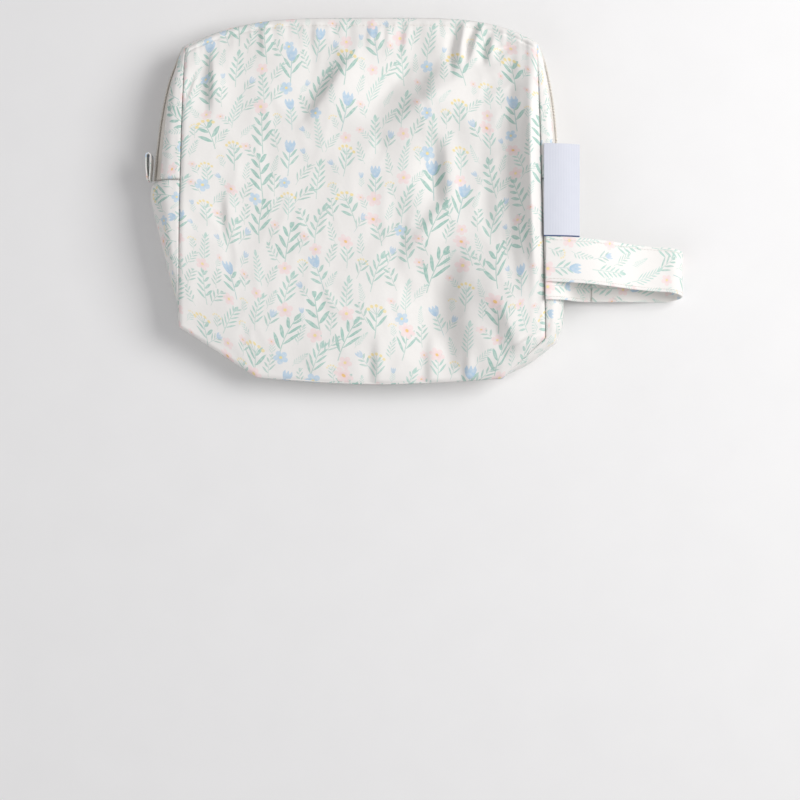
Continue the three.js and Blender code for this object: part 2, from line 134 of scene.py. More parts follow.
def smooth(value):
    value = clamp01(value)
    return value * value * (3 - 2 * value)


def station_value(t, column):
    """A smooth curve through one column of the stations."""
    place = t % SIDES
    after = next((i for i, row in enumerate(STATIONS) if row[0] > place), len(STATIONS))

    def row(k):
        turns, k = divmod(k, len(STATIONS))
        return STATIONS[k][0] + turns * SIDES, STATIONS[k][column]

    (a, va), (b, vb), (c, vc), (d, vd) = (row(after + k) for k in (-2, -1, 0, 1))
    step = c - b
    k = (place - b) / step
    slope_b = (vc - va) / (c - a) * step
    slope_c = (vd - vb) / (d - b) * step
    return (
        (2 * k**3 - 3 * k**2 + 1) * vb
        + (k**3 - 2 * k**2 + k) * slope_b
        + (3 * k**2 - 2 * k**3) * vc
        + (k**3 - k**2) * slope_c
    )


def corner(name):
    x, y = CORNERS[name]
    return Vector((PANEL_WIDTH * x, PANEL_HEIGHT * y, 0))


def bottom_edge(share):
    """The bottom edge, from the lower right corner through the two feet."""
    path = [corner(n) for n in ("lower_right", "right_foot", "left_foot", "lower_left")]
    lengths = [(b - a).length for a, b in zip(path, path[1:])]
    left = clamp01(share) * sum(lengths)
    part = 0
    while part < 2 and left > lengths[part]:
        left -= lengths[part]
        part += 1
    k = clamp01(left / lengths[part])
    point = path[part].lerp(path[part + 1], k)
    if part == 1:
        point.y -= BOTTOM_SAG * PANEL_HEIGHT * math.sin(math.pi * k)
    return point


def top_edge(share):
    """The top edge, a squared arch from the upper left corner to the upper right one."""
    a, b = corner("upper_left"), corner("upper_right")
    across = 2 * share - 1
    power = SQUARENESS["left" if across < 0 else "right"]
    point = a.lerp(b, share)
    point.y = mix(point.y, CROWN * PANEL_HEIGHT, 1 - abs(across) ** power)
    return point


@functools.lru_cache(maxsize=None)
def seam_at(t):
    side, share = divmod(t % SIDES, 1)
    if side == 0:
        point = corner("lower_left").lerp(corner("upper_left"), share)
    elif side == 1:
        point = top_edge(share)
    elif side == 2:
        point = corner("upper_right").lerp(corner("lower_right"), share)
    else:
        point = bottom_edge(share)
    return point.x, point.y, LYING_HEIGHT * station_value(t, 2)


def seam(t):
    return Vector(seam_at(t))


def seam_length(start, stop):
    ticks = [mix(start, stop, k / 200) for k in range(201)]
    return sum((seam(a) - seam(b)).length for a, b in zip(ticks, ticks[1:]))


print("front seam, round the bag:", round(seam_length(0, SIDES)), "mm")

# %% [markdown]
# Folds are what make cloth look like cloth, and the light across them is most of the picture.
# Each row of the two tables is a line from one place to another, in shares of the panel's width
# and height from its middle. A ridge has a lift above zero and a valley one below. Cloth that is
# pushed sideways leans, so each fold is steep on one side and runs out slowly on the other, and
# a ridge with a valley beside it makes one long dark slope. The widest folds are in the solids
# too. The fine ones are creases that the solids' faces are too large to hold.

# %% Folds of the front panel
#   from x, from y, to x, to y, bow, reach, lift
WIDE_FOLDS = (
    (0.005, 0.42, -0.17, 0.18, 0.0, 0.05, 0.1),
    (-0.06, 0.42, -0.19, 0.17, 0.0, 0.042, -0.08),
    (0.31, 0.4, 0.02, 0.19, 0.0, 0.06, 0.15),
    (0.235, 0.45, 0.02, 0.2, 0.03, 0.05, -0.14),
    (-0.402, 0.43, -0.402, 0.21, 0.0, 0.02, 0.07),
    (-0.43, 0.44, -0.43, 0.2, 0.0, 0.022, -0.07),
    (0.238, 0.19, 0.241, -0.04, 0.0, 0.026, 0.1),
    (0.197, 0.2, 0.213, -0.03, 0.0, 0.026, -0.09),
    (0.28, 0.08, 0.09, -0.23, 0.0, 0.035, 0.08),
    (0.49, 0.46, 0.49, -0.28, -0.022, 0.03, 0.22),
    (0.42, 0.46, 0.43, -0.28, -0.024, 0.042, -0.22),
    (0.345, -0.09, 0.32, -0.52, 0.04, 0.07, 0.12),
    (0.235, -0.06, 0.25, -0.53, -0.015, 0.075, -0.19),
    (0.375, -0.24, 0.44, -0.43, 0.0, 0.022, 0.06),
    (0.345, -0.25, 0.395, -0.44, 0.0, 0.022, -0.06),
)
FINE_FOLDS = (
    (0.33, 0.36, 0.04, 0.18, 0.0, 0.045, 0.07),
    (0.21, 0.46, 0.0, 0.23, 0.0, 0.045, -0.07),
    (0.3, -0.1, 0.295, -0.5, 0.0, 0.05, 0.06),
    (0.185, -0.1, 0.215, -0.46, 0.0, 0.07, -0.08),
    (0.01, 0.43, -0.185, 0.16, 0.0, 0.024, 0.05),
    (0.39, 0.42, 0.4, -0.24, -0.02, 0.05, 0.12),
    (0.26, 0.32, 0.265, -0.12, 0.0, 0.06, -0.08),
    (0.292, 0.5, 0.276, 0.34, -0.006, 0.013, 0.08),
    (0.268, 0.5, 0.25, 0.32, -0.006, 0.013, -0.1),
    (0.342, 0.5, 0.3, 0.36, -0.004, 0.012, 0.07),
    (0.322, 0.5, 0.282, 0.35, -0.004, 0.012, -0.08),
    (0.369, 0.46, 0.348, 0.36, 0.0, 0.01, 0.05),
    (0.352, 0.46, 0.334, 0.36, 0.0, 0.01, -0.06),
    (0.34, 0.402, 0.48, 0.436, 0.0, 0.009, -0.05),
    (0.52, -0.345, 0.39, -0.42, 0.0, 0.013, 0.06),
    (0.052, -0.33, 0.045, -0.55, 0.0, 0.016, 0.045),
    (0.026, -0.33, 0.02, -0.54, 0.0, 0.016, -0.035),
    (0.2, -0.34, 0.194, -0.55, 0.0, 0.016, 0.04),
    (0.175, -0.35, 0.172, -0.54, 0.0, 0.016, -0.03),
    (0.298, -0.38, 0.29, -0.54, 0.0, 0.012, 0.05),
    (-0.45, 0.37, -0.487, 0.25, 0.0, 0.01, -0.045),
    (-0.366, 0.03, -0.36, -0.13, 0.0, 0.015, 0.035),
    (-0.386, 0.03, -0.384, -0.12, 0.0, 0.015, -0.03),
    (0.16, 0.02, 0.11, -0.2, 0.0, 0.022, 0.02),
    (0.13, 0.06, 0.1, -0.18, 0.0, 0.022, -0.02),
    (-0.27, 0.5, -0.266, 0.38, 0.0, 0.01, 0.03),
    (0.026, 0.5, 0.022, 0.4, 0.0, 0.008, 0.035),
    (0.05, 0.5, 0.044, 0.4, 0.0, 0.008, 0.03),
    (0.078, 0.5, 0.07, 0.39, 0.0, 0.009, 0.035),
    (0.13, 0.5, 0.115, 0.38, 0.0, 0.011, 0.04),
    (-0.12, 0.5, -0.13, 0.4, 0.0, 0.01, 0.025),
)
FOLD_FADE = 0.045
FINE_FADE = 0.012
STEEP_SIDE, SLOW_SIDE = 1.6, 0.6


def fold_lift(x, y, folds):
    """How far one table of folds lifts a place of the panel, in millimetres."""
    lift = 0.0
    for from_x, from_y, to_x, to_y, bow, reach, height in folds:
        ax, ay = from_x * PANEL_WIDTH, from_y * PANEL_HEIGHT
        lx, ly = to_x * PANEL_WIDTH - ax, to_y * PANEL_HEIGHT - ay
        length = math.hypot(lx, ly)
        lx, ly = lx / length, ly / length
        along = ((x - ax) * lx + (y - ay) * ly) / length
        if not 0 < along < 1:
            continue
        swing = math.sin(math.pi * along)
        aside = (x - ax) * ly - (y - ay) * lx
        distance = (aside + bow * PANEL_WIDTH * swing) / (reach * PANEL_WIDTH)
        distance *= STEEP_SIDE if (distance > 0) == (height > 0) else SLOW_SIDE
        if abs(distance) < 3:
            lift += height * LYING_HEIGHT * math.exp(-distance * distance) * swing**1.5
    return lift


def crumple(x, y, size, seed):
    """Soft unevenness between about -1 and 1, with bumps of about one size."""
    place = Vector((x / size, y / size, seed))
    return noise.noise(place) + 0.5 * noise.noise(place * 2.1)


def dimples(x, y, size, seed):
    """Shallow dents with soft ridges between them, bent by a slower unevenness."""
    place = Vector((x / size, y / (1.6 * size), seed))
    place += 0.8 * noise.noise_vector(place * 0.6)
    return 0.5 - math.sqrt(noise.noise(place) ** 2 + 0.01) * 2.2


# %% [markdown]
# The front panel is a patch between its four edges. A shallow dish, the folds and a soft
# crumple move it up and down. Near the edge it rolls down into the seam, and 6 mm below the top
# edge a row of stitches holds it, with small gathers hanging from them.

# %% The front panel's surface
HEM = 6
SLACK = 3
SEAM_ROLL = 2.0
ROLL_WIDTH = 4
CRUMPLE_SIZE = 46
CRUMPLE_LIFT = 1.7
DIMPLE_SIZE = 19
DIMPLE_LIFT = 0.75
HEM_GROOVE = 0.8
GROOVE_WIDTH = 1.183
GATHER_SIZE = 6
GATHER_LIFT = 1.0
GATHER_REACH = 11


def patch(edge, u, v):
    """A place inside four edges, given as one function of the station."""
    left, right, bottom, top = edge(v), edge(3 - v), edge(4 - u), edge(1 + u)
    a, b, c, d = (edge(k) for k in range(SIDES))
    point = left * (1 - u) + right * u + bottom * (1 - v) + top * v
    return point - a * (1 - u) * (1 - v) - b * (1 - u) * v - c * u * v - d * u * (1 - v)


def front_point(u, v):
    point = patch(seam, u, v)
    rim = min(u, 1 - u, v, 1 - v)
    point.z -= (DISH_DEPTH + SLACK) * math.sin(math.pi * u) * math.sin(math.pi * v)
    point.z += fold_lift(point.x, point.y, WIDE_FOLDS) * smooth(rim / FOLD_FADE)
    point.z += fold_lift(point.x, point.y, FINE_FOLDS) * smooth(rim / FINE_FADE)
    soft = CRUMPLE_LIFT * crumple(point.x, point.y, CRUMPLE_SIZE, 1)
    soft += DIMPLE_LIFT * dimples(point.x, point.y, DIMPLE_SIZE, 4)
    point.z += soft * smooth(rim / FOLD_FADE)
    from_edge = rim * PANEL_WIDTH
    point.z -= SEAM_ROLL * (1 - clamp01(from_edge / ROLL_WIDTH)) ** 2
    from_top = (1 - v) * PANEL_HEIGHT
    gather = crumple(point.x, 0, GATHER_SIZE, 5)
    gather *= math.exp(-max(0, from_top - HEM) / GATHER_REACH)
    point.z += GATHER_LIFT * gather * smooth(from_top / HEM)
    point.z -= HEM_GROOVE * math.exp(-(((from_top - HEM) / GROOVE_WIDTH) ** 2))
    return point


print("wide folds:", len(WIDE_FOLDS), "fine folds:", len(FINE_FOLDS))

# %% [markdown]
# The gusset is one surface too. Its section is a soft point: it runs from the front seam out to
# the middle of its depth and back to the back seam. Beside each seam it lies almost level, like
# a shelf, which is why its upper half catches as much light as the panel. Where the table's
# stand is below zero, the same formula tucks it in between the panels.

# %% The gusset's surface
SEAM_ROOM = 1.6
GUSSET_SHELF = 0.15
SHELF_STAND = 0.2


def gusset_point(t, across):
    point = seam(t)
    x, y = 2 * point.x / PANEL_WIDTH, 2 * point.y / PANEL_HEIGHT
    out = Vector((x**3, y**3, 0)).normalized()
    start = point.z - SEAM_ROOM * CLOTH_WALL - SEAM_GAP
    end = BACK_LIFT + SEAM_ROOM * CLOTH_WALL + SEAM_GAP
    stand = station_value(t, 1)
    bulge = GUSSET_DEPTH * stand * (1 - abs(2 * across - 1) ** ROUNDNESS)
    point += out * (bulge - BACK_INSET * across)
    fall = smooth((across - GUSSET_SHELF) / (1 - 2 * GUSSET_SHELF))
    point.z = mix(start, end, mix(across, fall, clamp01(stand / SHELF_STAND)))
    return point


def gusset_normal(t, across):
    small = 0.01
    along = gusset_point(t + small, across) - gusset_point(t - small, across)
    low, high = max(0, across - small), min(1, across + small)
    down = gusset_point(t, high) - gusset_point(t, low)
    return along.cross(down).normalized()


def gusset_at(t, across, out):
    return gusset_point(t, across) + gusset_normal(t, across) * out


def side_station(side, y):
    names = ("lower_left", "upper_left") if side == "left" else ("upper_right", "lower_right")
    a, b = (corner(n).y for n in names)
    return (0 if side == "left" else 2) + (y - a) / (b - a)


ZIP_START = side_station("left", ZIP_END_HEIGHT)
ZIP_STOP = side_station("right", ZIP_END_HEIGHT)
STRIP_SHARE = 0.5 - ZIP_WIDTH / 2 / GUSSET_DEPTH
LAP_SHARE = TAPE_LAP / GUSSET_DEPTH
print("the zip is", round(seam_length(ZIP_START, ZIP_STOP)), "mm long")

# %% [markdown]
# A material is a small network of nodes. One function adds a node with its settings and links.
# Formulas with many steps are kept as tables, and a loop adds one node for each row. Colours
# are written as they would be picked on a screen, and turned to linear light in one place.

# %% Helpers for materials
def linear(hex_colour):
    """An sRGB hex colour as linear red, green, blue and alpha."""
    channels = [int(hex_colour[k : k + 2], 16) / 255 for k in (1, 3, 5)]
    low = [c / 12.92 if c <= 0.04045 else ((c + 0.055) / 1.055) ** 2.4 for c in channels]
    return (*low, 1.0)


def add(tree, kind, inputs=None, **settings):
    """Adds a node. Inputs are sockets, nodes or plain values, by name or number."""
    made = tree.nodes.new("ShaderNode" + kind)
    for name, value in settings.items():
        setattr(made, name, value)
    for name, value in (inputs or {}).items():
        if isinstance(value, bpy.types.Node):
            value = value.outputs[0]
        if isinstance(value, bpy.types.NodeSocket):
            tree.links.new(value, made.inputs[name])
        else:
            made.inputs[name].default_value = value
    return made


def work_out(tree, known, rows):
    """Adds a Math node for each row of name, operation and terms. Terms are names or numbers,
    and a name that starts with in_ is a mask, kept between 0 and 1."""
    for name, operation, *terms in rows:
        inputs = {i: known.get(term, term) for i, term in enumerate(terms)}
        clamp = name.startswith("in_")
        known[name] = add(tree, "Math", inputs, operation=operation, use_clamp=clamp)
    return known


def new_material(name, **shader):
    """A material with a Principled shader, whose plain values are set on its own sockets."""
    material = bpy.data.materials.new(name)
    material.use_nodes = True
    tree = material.node_tree
    surface = tree.nodes["Principled BSDF"]
    for socket, value in shader.items():
        title = socket.replace("_", " ").title().replace("Ior", "IOR")
        surface.inputs[title].default_value = value
    return material, tree, surface


# %% [markdown]
# The print is a small meadow on off-white: leafy sprigs, some with a tulip, a spray of berries
# or a daisy at the top, and loose daisies between them. The cloth is cut into cells in brick
# order. Each cell has its own random numbers, so no two sprigs are alike, and the stems all
# grow the same way, as on cloth by the metre. A chart of real millimetres lies on every piece.

# %% Cells of the print
def cells(tree, x, y, width, height, seed, wander, tilt):
    """Cuts the cloth into cells. Gives a place from each cell's middle and its random numbers."""
    known = {"x": x, "y": y}
    work_out(tree, known, (
        ("columns", "DIVIDE", "x", width),
        ("column", "FLOOR", "columns"),
        ("odd", "FLOORED_MODULO", "column", 2),
        ("y", "MULTIPLY_ADD", "odd", height / 2, "y"),
        ("rows", "DIVIDE", "y", height),
        ("row", "FLOOR", "rows"),
    ))
    spot = add(tree, "CombineXYZ", {0: known["column"], 1: known["row"], 2: seed})
    white = add(tree, "TexWhiteNoise", {"Vector": spot}, noise_dimensions="3D")
    colour = add(tree, "SeparateColor", {0: white.outputs["Color"]})
    known.update(kind=white.outputs["Value"], one=colour.outputs[0])
    known.update(two=colour.outputs[1], three=colour.outputs[2])
    work_out(tree, known, (
        ("x", "MULTIPLY_ADD", "column", -width, "x"),
        ("x", "SUBTRACT", "x", width / 2 - wander / 2),
        ("x", "MULTIPLY_ADD", "one", -wander, "x"),
        ("y", "MULTIPLY_ADD", "row", -height, "y"),
        ("y", "SUBTRACT", "y", height / 2 - wander / 2),
        ("y", "MULTIPLY_ADD", "two", -wander, "y"),
        ("turn", "MULTIPLY_ADD", "three", tilt, -tilt / 2),
        ("size", "MULTIPLY_ADD", "two", -0.35, 1.15),
    ))
    place = add(tree, "CombineXYZ", {0: known["x"], 1: known["y"]})
    turned = add(tree, "VectorRotate", {"Vector": place, "Angle": known["turn"]},
                 rotation_type="Z_AXIS")
    sized = add(tree, "VectorMath", {0: turned, "Scale": known["size"]}, operation="SCALE")
    split = add(tree, "SeparateXYZ", {0: sized})
    known.update(x=split.outputs[0], y=split.outputs[1])
    return known


# %% [markdown]
# A sprig is one leaf that is drawn again and again. The place beside the stem is folded over,
# so a leaf on one side has its twin on the other, and the place along the stem is cut into even
# steps. Slanting the steps makes the leaves point up. A leaf's width is a parabola, so it has a
# sharp tip and a thin foot.

# %% Sprigs
SPRIG_FOOT = -15
STEM_HALF = 0.24
STEM_OVER = 2
TIP_LENGTH, TIP_WIDTH = 6.5, 5.6
EDGE = 2.2
PLAIN_SHARE, HEAD_SHARE = 0.52, 0.16


def inked(mask, inside):
    """A row that turns a distance inside an outline into a mask with a soft edge."""
    return mask, "MULTIPLY_ADD", inside, EDGE, 0.5


def only(mask, *where):
    """Rows that keep a mask only where each of some other values says."""
    return tuple((mask, "MULTIPLY", mask, value) for value in where)


SPRIG = (
    ("up", "SUBTRACT", "y", SPRIG_FOOT),
    ("bend", "MULTIPLY_ADD", "one", 0.02, -0.01),
    ("square", "MULTIPLY", "up", "up"),
    ("x", "MULTIPLY_ADD", "square", "bend", "x"),
    ("aside", "ABSOLUTE", "x"),
    ("headed", "GREATER_THAN", "kind", PLAIN_SHARE),
    ("height", "MULTIPLY_ADD", "headed", -9.5, 24),
    ("pitch", "MULTIPLY_ADD", "two", 4.4, 3.5),
    ("slope", "MULTIPLY_ADD", "three", 0.7, 0.8),
    ("right", "GREATER_THAN", "x", 0),
    ("lag", "MULTIPLY", "right", "pitch"),
    ("lag", "MULTIPLY", "lag", 0.45),
    ("step", "MULTIPLY_ADD", "aside", "slope", "lag"),
    ("step", "SUBTRACT", "up", "step"),
    ("steps", "DIVIDE", "step", "pitch"),
    ("count", "FLOOR", "steps"),
    ("off", "SUBTRACT", "steps", "count"),
    ("off", "SUBTRACT", "off", 0.5),
    ("off", "ABSOLUTE", "off"),
    ("off", "MULTIPLY", "off", "pitch"),
    ("level", "MULTIPLY", "count", "pitch"),
    ("level", "DIVIDE", "level", "height"),
    ("reach", "MULTIPLY_ADD", "level", -0.5, 1),
    ("longest", "MULTIPLY_ADD", "pitch", 0.75, 2.4),
    ("reach", "MULTIPLY", "reach", "longest"),
    ("along", "DIVIDE", "aside", "reach"),
    ("rest", "SUBTRACT", 1, "along"),
    ("lens", "MULTIPLY", "along", "rest"),
    ("lens", "MULTIPLY", "lens", "pitch"),
    ("leaf", "MULTIPLY_ADD", "lens", 1.0, -0.05),
    ("leaf", "SUBTRACT", "leaf", "off"),
    inked("in_leaf", "leaf"),
    ("from_low", "GREATER_THAN", "steps", 0),
    ("to_high", "LESS_THAN", "step", "height"),
    *only("in_leaf", "from_low", "to_high"),
    ("stem", "SUBTRACT", STEM_HALF, "aside"),
    inked("in_stem", "stem"),
    ("stem_top", "ADD", "height", STEM_OVER),
    ("below", "LESS_THAN", "up", "stem_top"),
    ("above", "GREATER_THAN", "up", -STEM_OVER),
    *only("in_stem", "below", "above"),
    ("tip", "SUBTRACT", "up", "height"),
    ("tip", "DIVIDE", "tip", TIP_LENGTH),
    ("tip_rest", "SUBTRACT", 1, "tip"),
    ("tip", "MULTIPLY", "tip", "tip_rest"),
    ("tip", "MULTIPLY", "tip", TIP_WIDTH),
    ("tip", "SUBTRACT", "tip", "aside"),
    inked("in_tip", "tip"),
    ("plain", "SUBTRACT", 1, "headed"),
    *only("in_tip", "plain"),
    ("in_green", "MAXIMUM", "in_leaf", "in_stem"),
    ("in_green", "MAXIMUM", "in_green", "in_tip"),
    ("rib", "SUBTRACT", 0.3, "off"),
    ("in_rib", "MULTIPLY_ADD", "rib", 3, 0),
)

print("steps that draw a sprig:", len(SPRIG))

# %% [markdown]
# The heads sit on the stems. A daisy is drawn round its middle: the angle sets how far a petal
# reaches. A tulip is a round cup with a toothed rim. A spray is five thin stalks, each with a
# berry, found by folding the angle into five sectors.

# %% Flowers and berries
def distance_rows(name, x, y):
    """Rows for the distance that two steps at a right angle make."""
    return (name, "MULTIPLY", x, x), (name, "MULTIPLY_ADD", y, y, name), (name, "SQRT", name)


ROUND_MIDDLE = (*distance_rows("radius", "hx", "hy"), ("angle", "ARCTAN2", "hx", "hy"))


def daisy(petals, size):
    """Rows for a daisy round the place hx, hy."""
    return (
        *ROUND_MIDDLE,
        ("petal", "MULTIPLY_ADD", "angle", petals / 2, "three"),
        ("petal", "COSINE", "petal"),
        ("petal", "ABSOLUTE", "petal"),
        ("petal", "POWER", "petal", 0.55),
        ("petal", "MULTIPLY_ADD", "petal", 0.5 * size, 0.5 * size),
        ("petal", "SUBTRACT", "petal", "radius"),
        inked("in_petal", "petal"),
        ("eye", "SUBTRACT", 0.2 * size, "radius"),
        inked("in_eye", "eye"),
        ("in_throat", "MULTIPLY_ADD", "radius", -1 / (0.6 * size), 1),
    )


TULIP_HEIGHT, TULIP_HALF = 9.5, 4.1
TULIP = (
    ("cup", "DIVIDE", "hy", TULIP_HEIGHT),
    ("cup", "ADD", "cup", 0.42),
    ("cup_rest", "SUBTRACT", 2, "cup"),
    ("cup_width", "MULTIPLY", "cup", "cup_rest"),
    ("cup_width", "MAXIMUM", "cup_width", 0),
    ("cup_width", "SQRT", "cup_width"),
    ("cup_width", "MULTIPLY", "cup_width", TULIP_HALF),
    ("h_aside", "ABSOLUTE", "hx"),
    ("cup_side", "SUBTRACT", "cup_width", "h_aside"),
    ("tooth", "MULTIPLY", "hx", 2.3),
    ("tooth", "COSINE", "tooth"),
    ("tooth", "MULTIPLY_ADD", "tooth", 0.13, 0.86),
    ("cup_top", "SUBTRACT", "tooth", "cup"),
    ("cup_top", "MULTIPLY", "cup_top", TULIP_HEIGHT),
    ("tulip", "MINIMUM", "cup_side", "cup_top"),
    inked("in_tulip", "tulip"),
)

SECTOR = 0.52
STALK_LENGTH, STALK_HALF = 6, 0.18
BERRY = 1.15
SPRAY = (
    ("ray", "DIVIDE", "angle", SECTOR),
    ("ray", "ROUND", "ray"),
    ("ray", "MINIMUM", "ray", 2),
    ("ray", "MAXIMUM", "ray", -2),
    ("ray", "MULTIPLY_ADD", "ray", -SECTOR, "angle"),
    ("ray_aside", "SINE", "ray"),
    ("ray_aside", "MULTIPLY", "ray_aside", "radius"),
    ("ray_along", "COSINE", "ray"),
    ("ray_along", "MULTIPLY", "ray_along", "radius"),
    ("stalk", "ABSOLUTE", "ray_aside"),
    ("stalk", "SUBTRACT", STALK_HALF, "stalk"),
    inked("in_stalk", "stalk"),
    ("short", "LESS_THAN", "ray_along", STALK_LENGTH),
    ("forward", "GREATER_THAN", "ray_along", 0),
    *only("in_stalk", "short", "forward"),
    ("to_berry", "SUBTRACT", "ray_along", STALK_LENGTH + 0.3),
    *distance_rows("to_berry", "to_berry", "ray_aside"),
    ("berry", "SUBTRACT", BERRY, "to_berry"),
    inked("in_berry", "berry"),
)

print("steps that draw the heads:", len(daisy(6, 1)) + len(TULIP) + len(SPRAY))

# %% [markdown]
# The inks are laid over the ground one after another, as a printer would. Soft noise thins
# each ink here and there, like a wash of watercolour.

# %% The print
GROUND = "#efece8"
INKS = {
    "sage": "#c2dbd2",
    "deep_sage": "#9fc6ba",
    "rib": "#dfece6",
    "blue": "#c6dae8",
    "deep_blue": "#adc8de",
    "pink": "#f3dfdd",
    "deep_pink": "#ecc9cc",
    "yellow": "#f3dfa3",
    "orange": "#f1c98a",
}


def lay(tree, below, ink, cover):
    """Lays an ink over what is below it, where the cover says."""
    made = add(tree, "Mix", {0: cover, 6: below, 7: ink}, data_type="RGBA")
    return made.outputs[2]


def blended(tree, share, first, second):
    colours = {6: linear(INKS[first]), 7: linear(INKS[second])}
    return add(tree, "Mix", {0: share, **colours}, data_type="RGBA").outputs[2]


def sprigs(tree, x, y, *lattice):
    """Sprigs on a lattice, as masks for leaves and stems and for three kinds of head."""
    known = cells(tree, x, y, *lattice)
    work_out(tree, known, SPRIG)
    work_out(tree, known, (
        ("hx", "ADD", "x", 0),
        ("hy", "SUBTRACT", "up", "height"),
        ("hy", "SUBTRACT", "hy", 5),
        *daisy(6, 5.8),
        *TULIP,
        ("hy", "ADD", "hy", 4.5),
        *ROUND_MIDDLE,
        *SPRAY,
        ("past_tulip", "GREATER_THAN", "kind", PLAIN_SHARE + HEAD_SHARE),
        ("past_spray", "GREATER_THAN", "kind", PLAIN_SHARE + 2 * HEAD_SHARE),
        ("is_tulip", "SUBTRACT", "headed", "past_tulip"),
        ("is_spray", "SUBTRACT", "past_tulip", "past_spray"),
        *only("in_tulip", "is_tulip"),
        *only("in_stalk", "is_spray"),
        *only("in_berry", "is_spray"),
        *only("in_petal", "past_spray"),
        *only("in_eye", "past_spray"),
        ("in_throat", "MULTIPLY", "in_throat", 0.7),
        ("in_green", "MAXIMUM", "in_green", "in_stalk"),
        ("in_rib", "MULTIPLY", "in_rib", 0.35),
        ("in_shade", "MULTIPLY", "cup", 0.8),
    ))
    return known


CELL_WIDTH, CELL_HEIGHT = 22, 36
TWIG_SIZE = 0.56


def meadow(tree):
    """The whole print, as one colour socket."""
    chart = add(tree, "UVMap", uv_map="cloth")
    in_mm = add(tree, "VectorMath", {0: chart, "Scale": 1 / MM}, operation="SCALE")
    split = add(tree, "SeparateXYZ", {0: in_mm})
    wash = add(tree, "TexNoise", {"Vector": in_mm, "Scale": 0.4, "Detail": 4})
    known = work_out(tree, {"x": split.outputs[0], "y": split.outputs[1]}, (
        ("in_ink", "MULTIPLY_ADD", wash.outputs[0], 1.3, 0.22),
        ("twig_x", "ADD", "x", CELL_WIDTH / 2),
        ("twig_x", "DIVIDE", "twig_x", TWIG_SIZE),
        ("twig_y", "ADD", "y", CELL_HEIGHT / 5),
        ("twig_y", "DIVIDE", "twig_y", TWIG_SIZE),
        ("bloom_y", "ADD", "y", 0.55 * CELL_HEIGHT),
    ))

    twig = sprigs(tree, known["twig_x"], known["twig_y"],
                  CELL_WIDTH / TWIG_SIZE, CELL_HEIGHT / 2 / TWIG_SIZE, 5, 8, 1.4)
    sprig = sprigs(tree, known["x"], known["y"], CELL_WIDTH, CELL_HEIGHT, 3, 4, 0.6)
    colour = linear(GROUND)
    for layer, strength in ((twig, 0.8), (sprig, 1.0)):
        for mask in ("in_green", "in_tulip", "in_petal", "in_berry"):
            work_out(tree, layer, only(mask, known["in_ink"], strength))
        work_out(tree, layer, only("in_eye", strength))
        sage = blended(tree, layer["two"], "sage", "deep_sage")
        sage = lay(tree, sage, linear(INKS["rib"]), layer["in_rib"])
        colour = lay(tree, colour, sage, layer["in_green"])
        blue = blended(tree, layer["in_shade"], "deep_blue", "blue")
        colour = lay(tree, colour, blue, layer["in_tulip"])
        pink = blended(tree, layer["in_throat"], "pink", "deep_pink")
        colour = lay(tree, colour, pink, layer["in_petal"])
        colour = lay(tree, colour, linear(INKS["orange"]), layer["in_eye"])
        colour = lay(tree, colour, linear(INKS["yellow"]), layer["in_berry"])

    bloom = cells(tree, known["x"], known["bloom_y"], CELL_WIDTH, CELL_HEIGHT, 8, 8, 3)
    work_out(tree, bloom, (
        ("hx", "ADD", "x", 0),
        ("hy", "ADD", "y", 0),
        *daisy(5, 5),
        ("shown", "LESS_THAN", "kind", 0.5),
        ("is_blue", "LESS_THAN", "kind", 0.22),
        *only("in_petal", "shown", known["in_ink"]),
        *only("in_eye", "shown"),
        ("in_throat", "MULTIPLY", "in_throat", 0.6),
    ))
    pink = blended(tree, bloom["in_throat"], "pink", "deep_pink")
    blue = blended(tree, bloom["in_throat"], "blue", "deep_blue")
    petal = lay(tree, pink, blue, bloom["is_blue"])
    colour = lay(tree, colour, petal, bloom["in_petal"])
    return lay(tree, colour, linear(INKS["yellow"]), bloom["in_eye"])


WEAVE_PITCH = 0.6


# Printed polyester laminate, knitted and fused to a film: matt, smooth, with a faint sheen on
# its folds and a fine crinkle that a warm dryer leaves. The threads are 0.3 mm apart, too fine
# to show, so they are drawn twice as coarse.
def printed_laminate():
    material, tree, surface = new_material(
        "printed_polyester_laminate",
        roughness=0.62,
        specular_ior_level=0.25,
        sheen_weight=0.1,
        sheen_roughness=0.4,
    )
    tree.links.new(meadow(tree), surface.inputs["Base Color"])
    place = add(tree, "TexCoord").outputs["Object"]
    crinkle = add(tree, "TexNoise", {"Vector": place, "Scale": 260, "Detail": 4})
    split = add(tree, "SeparateXYZ", {0: add(tree, "UVMap", uv_map="cloth")})
    turns = 2 * math.pi / (WEAVE_PITCH * MM)
    known = work_out(tree, {"x": split.outputs[0], "y": split.outputs[1]}, (
        ("warp", "MULTIPLY", "x", turns),
        ("warp", "SINE", "warp"),
        ("weft", "MULTIPLY", "y", turns),
        ("weft", "SINE", "weft"),
        ("weave", "MULTIPLY", "warp", "weft"),
        ("height", "MULTIPLY_ADD", "weave", 0.06, crinkle.outputs[0]),
    ))
    bump = add(tree, "Bump", {"Height": known["height"], "Strength": 0.5, "Distance": 0.25 * MM})
    tree.links.new(bump.outputs[0], surface.inputs["Normal"])
    print("nodes in the print:", len(tree.nodes))
    return material


laminate = printed_laminate()
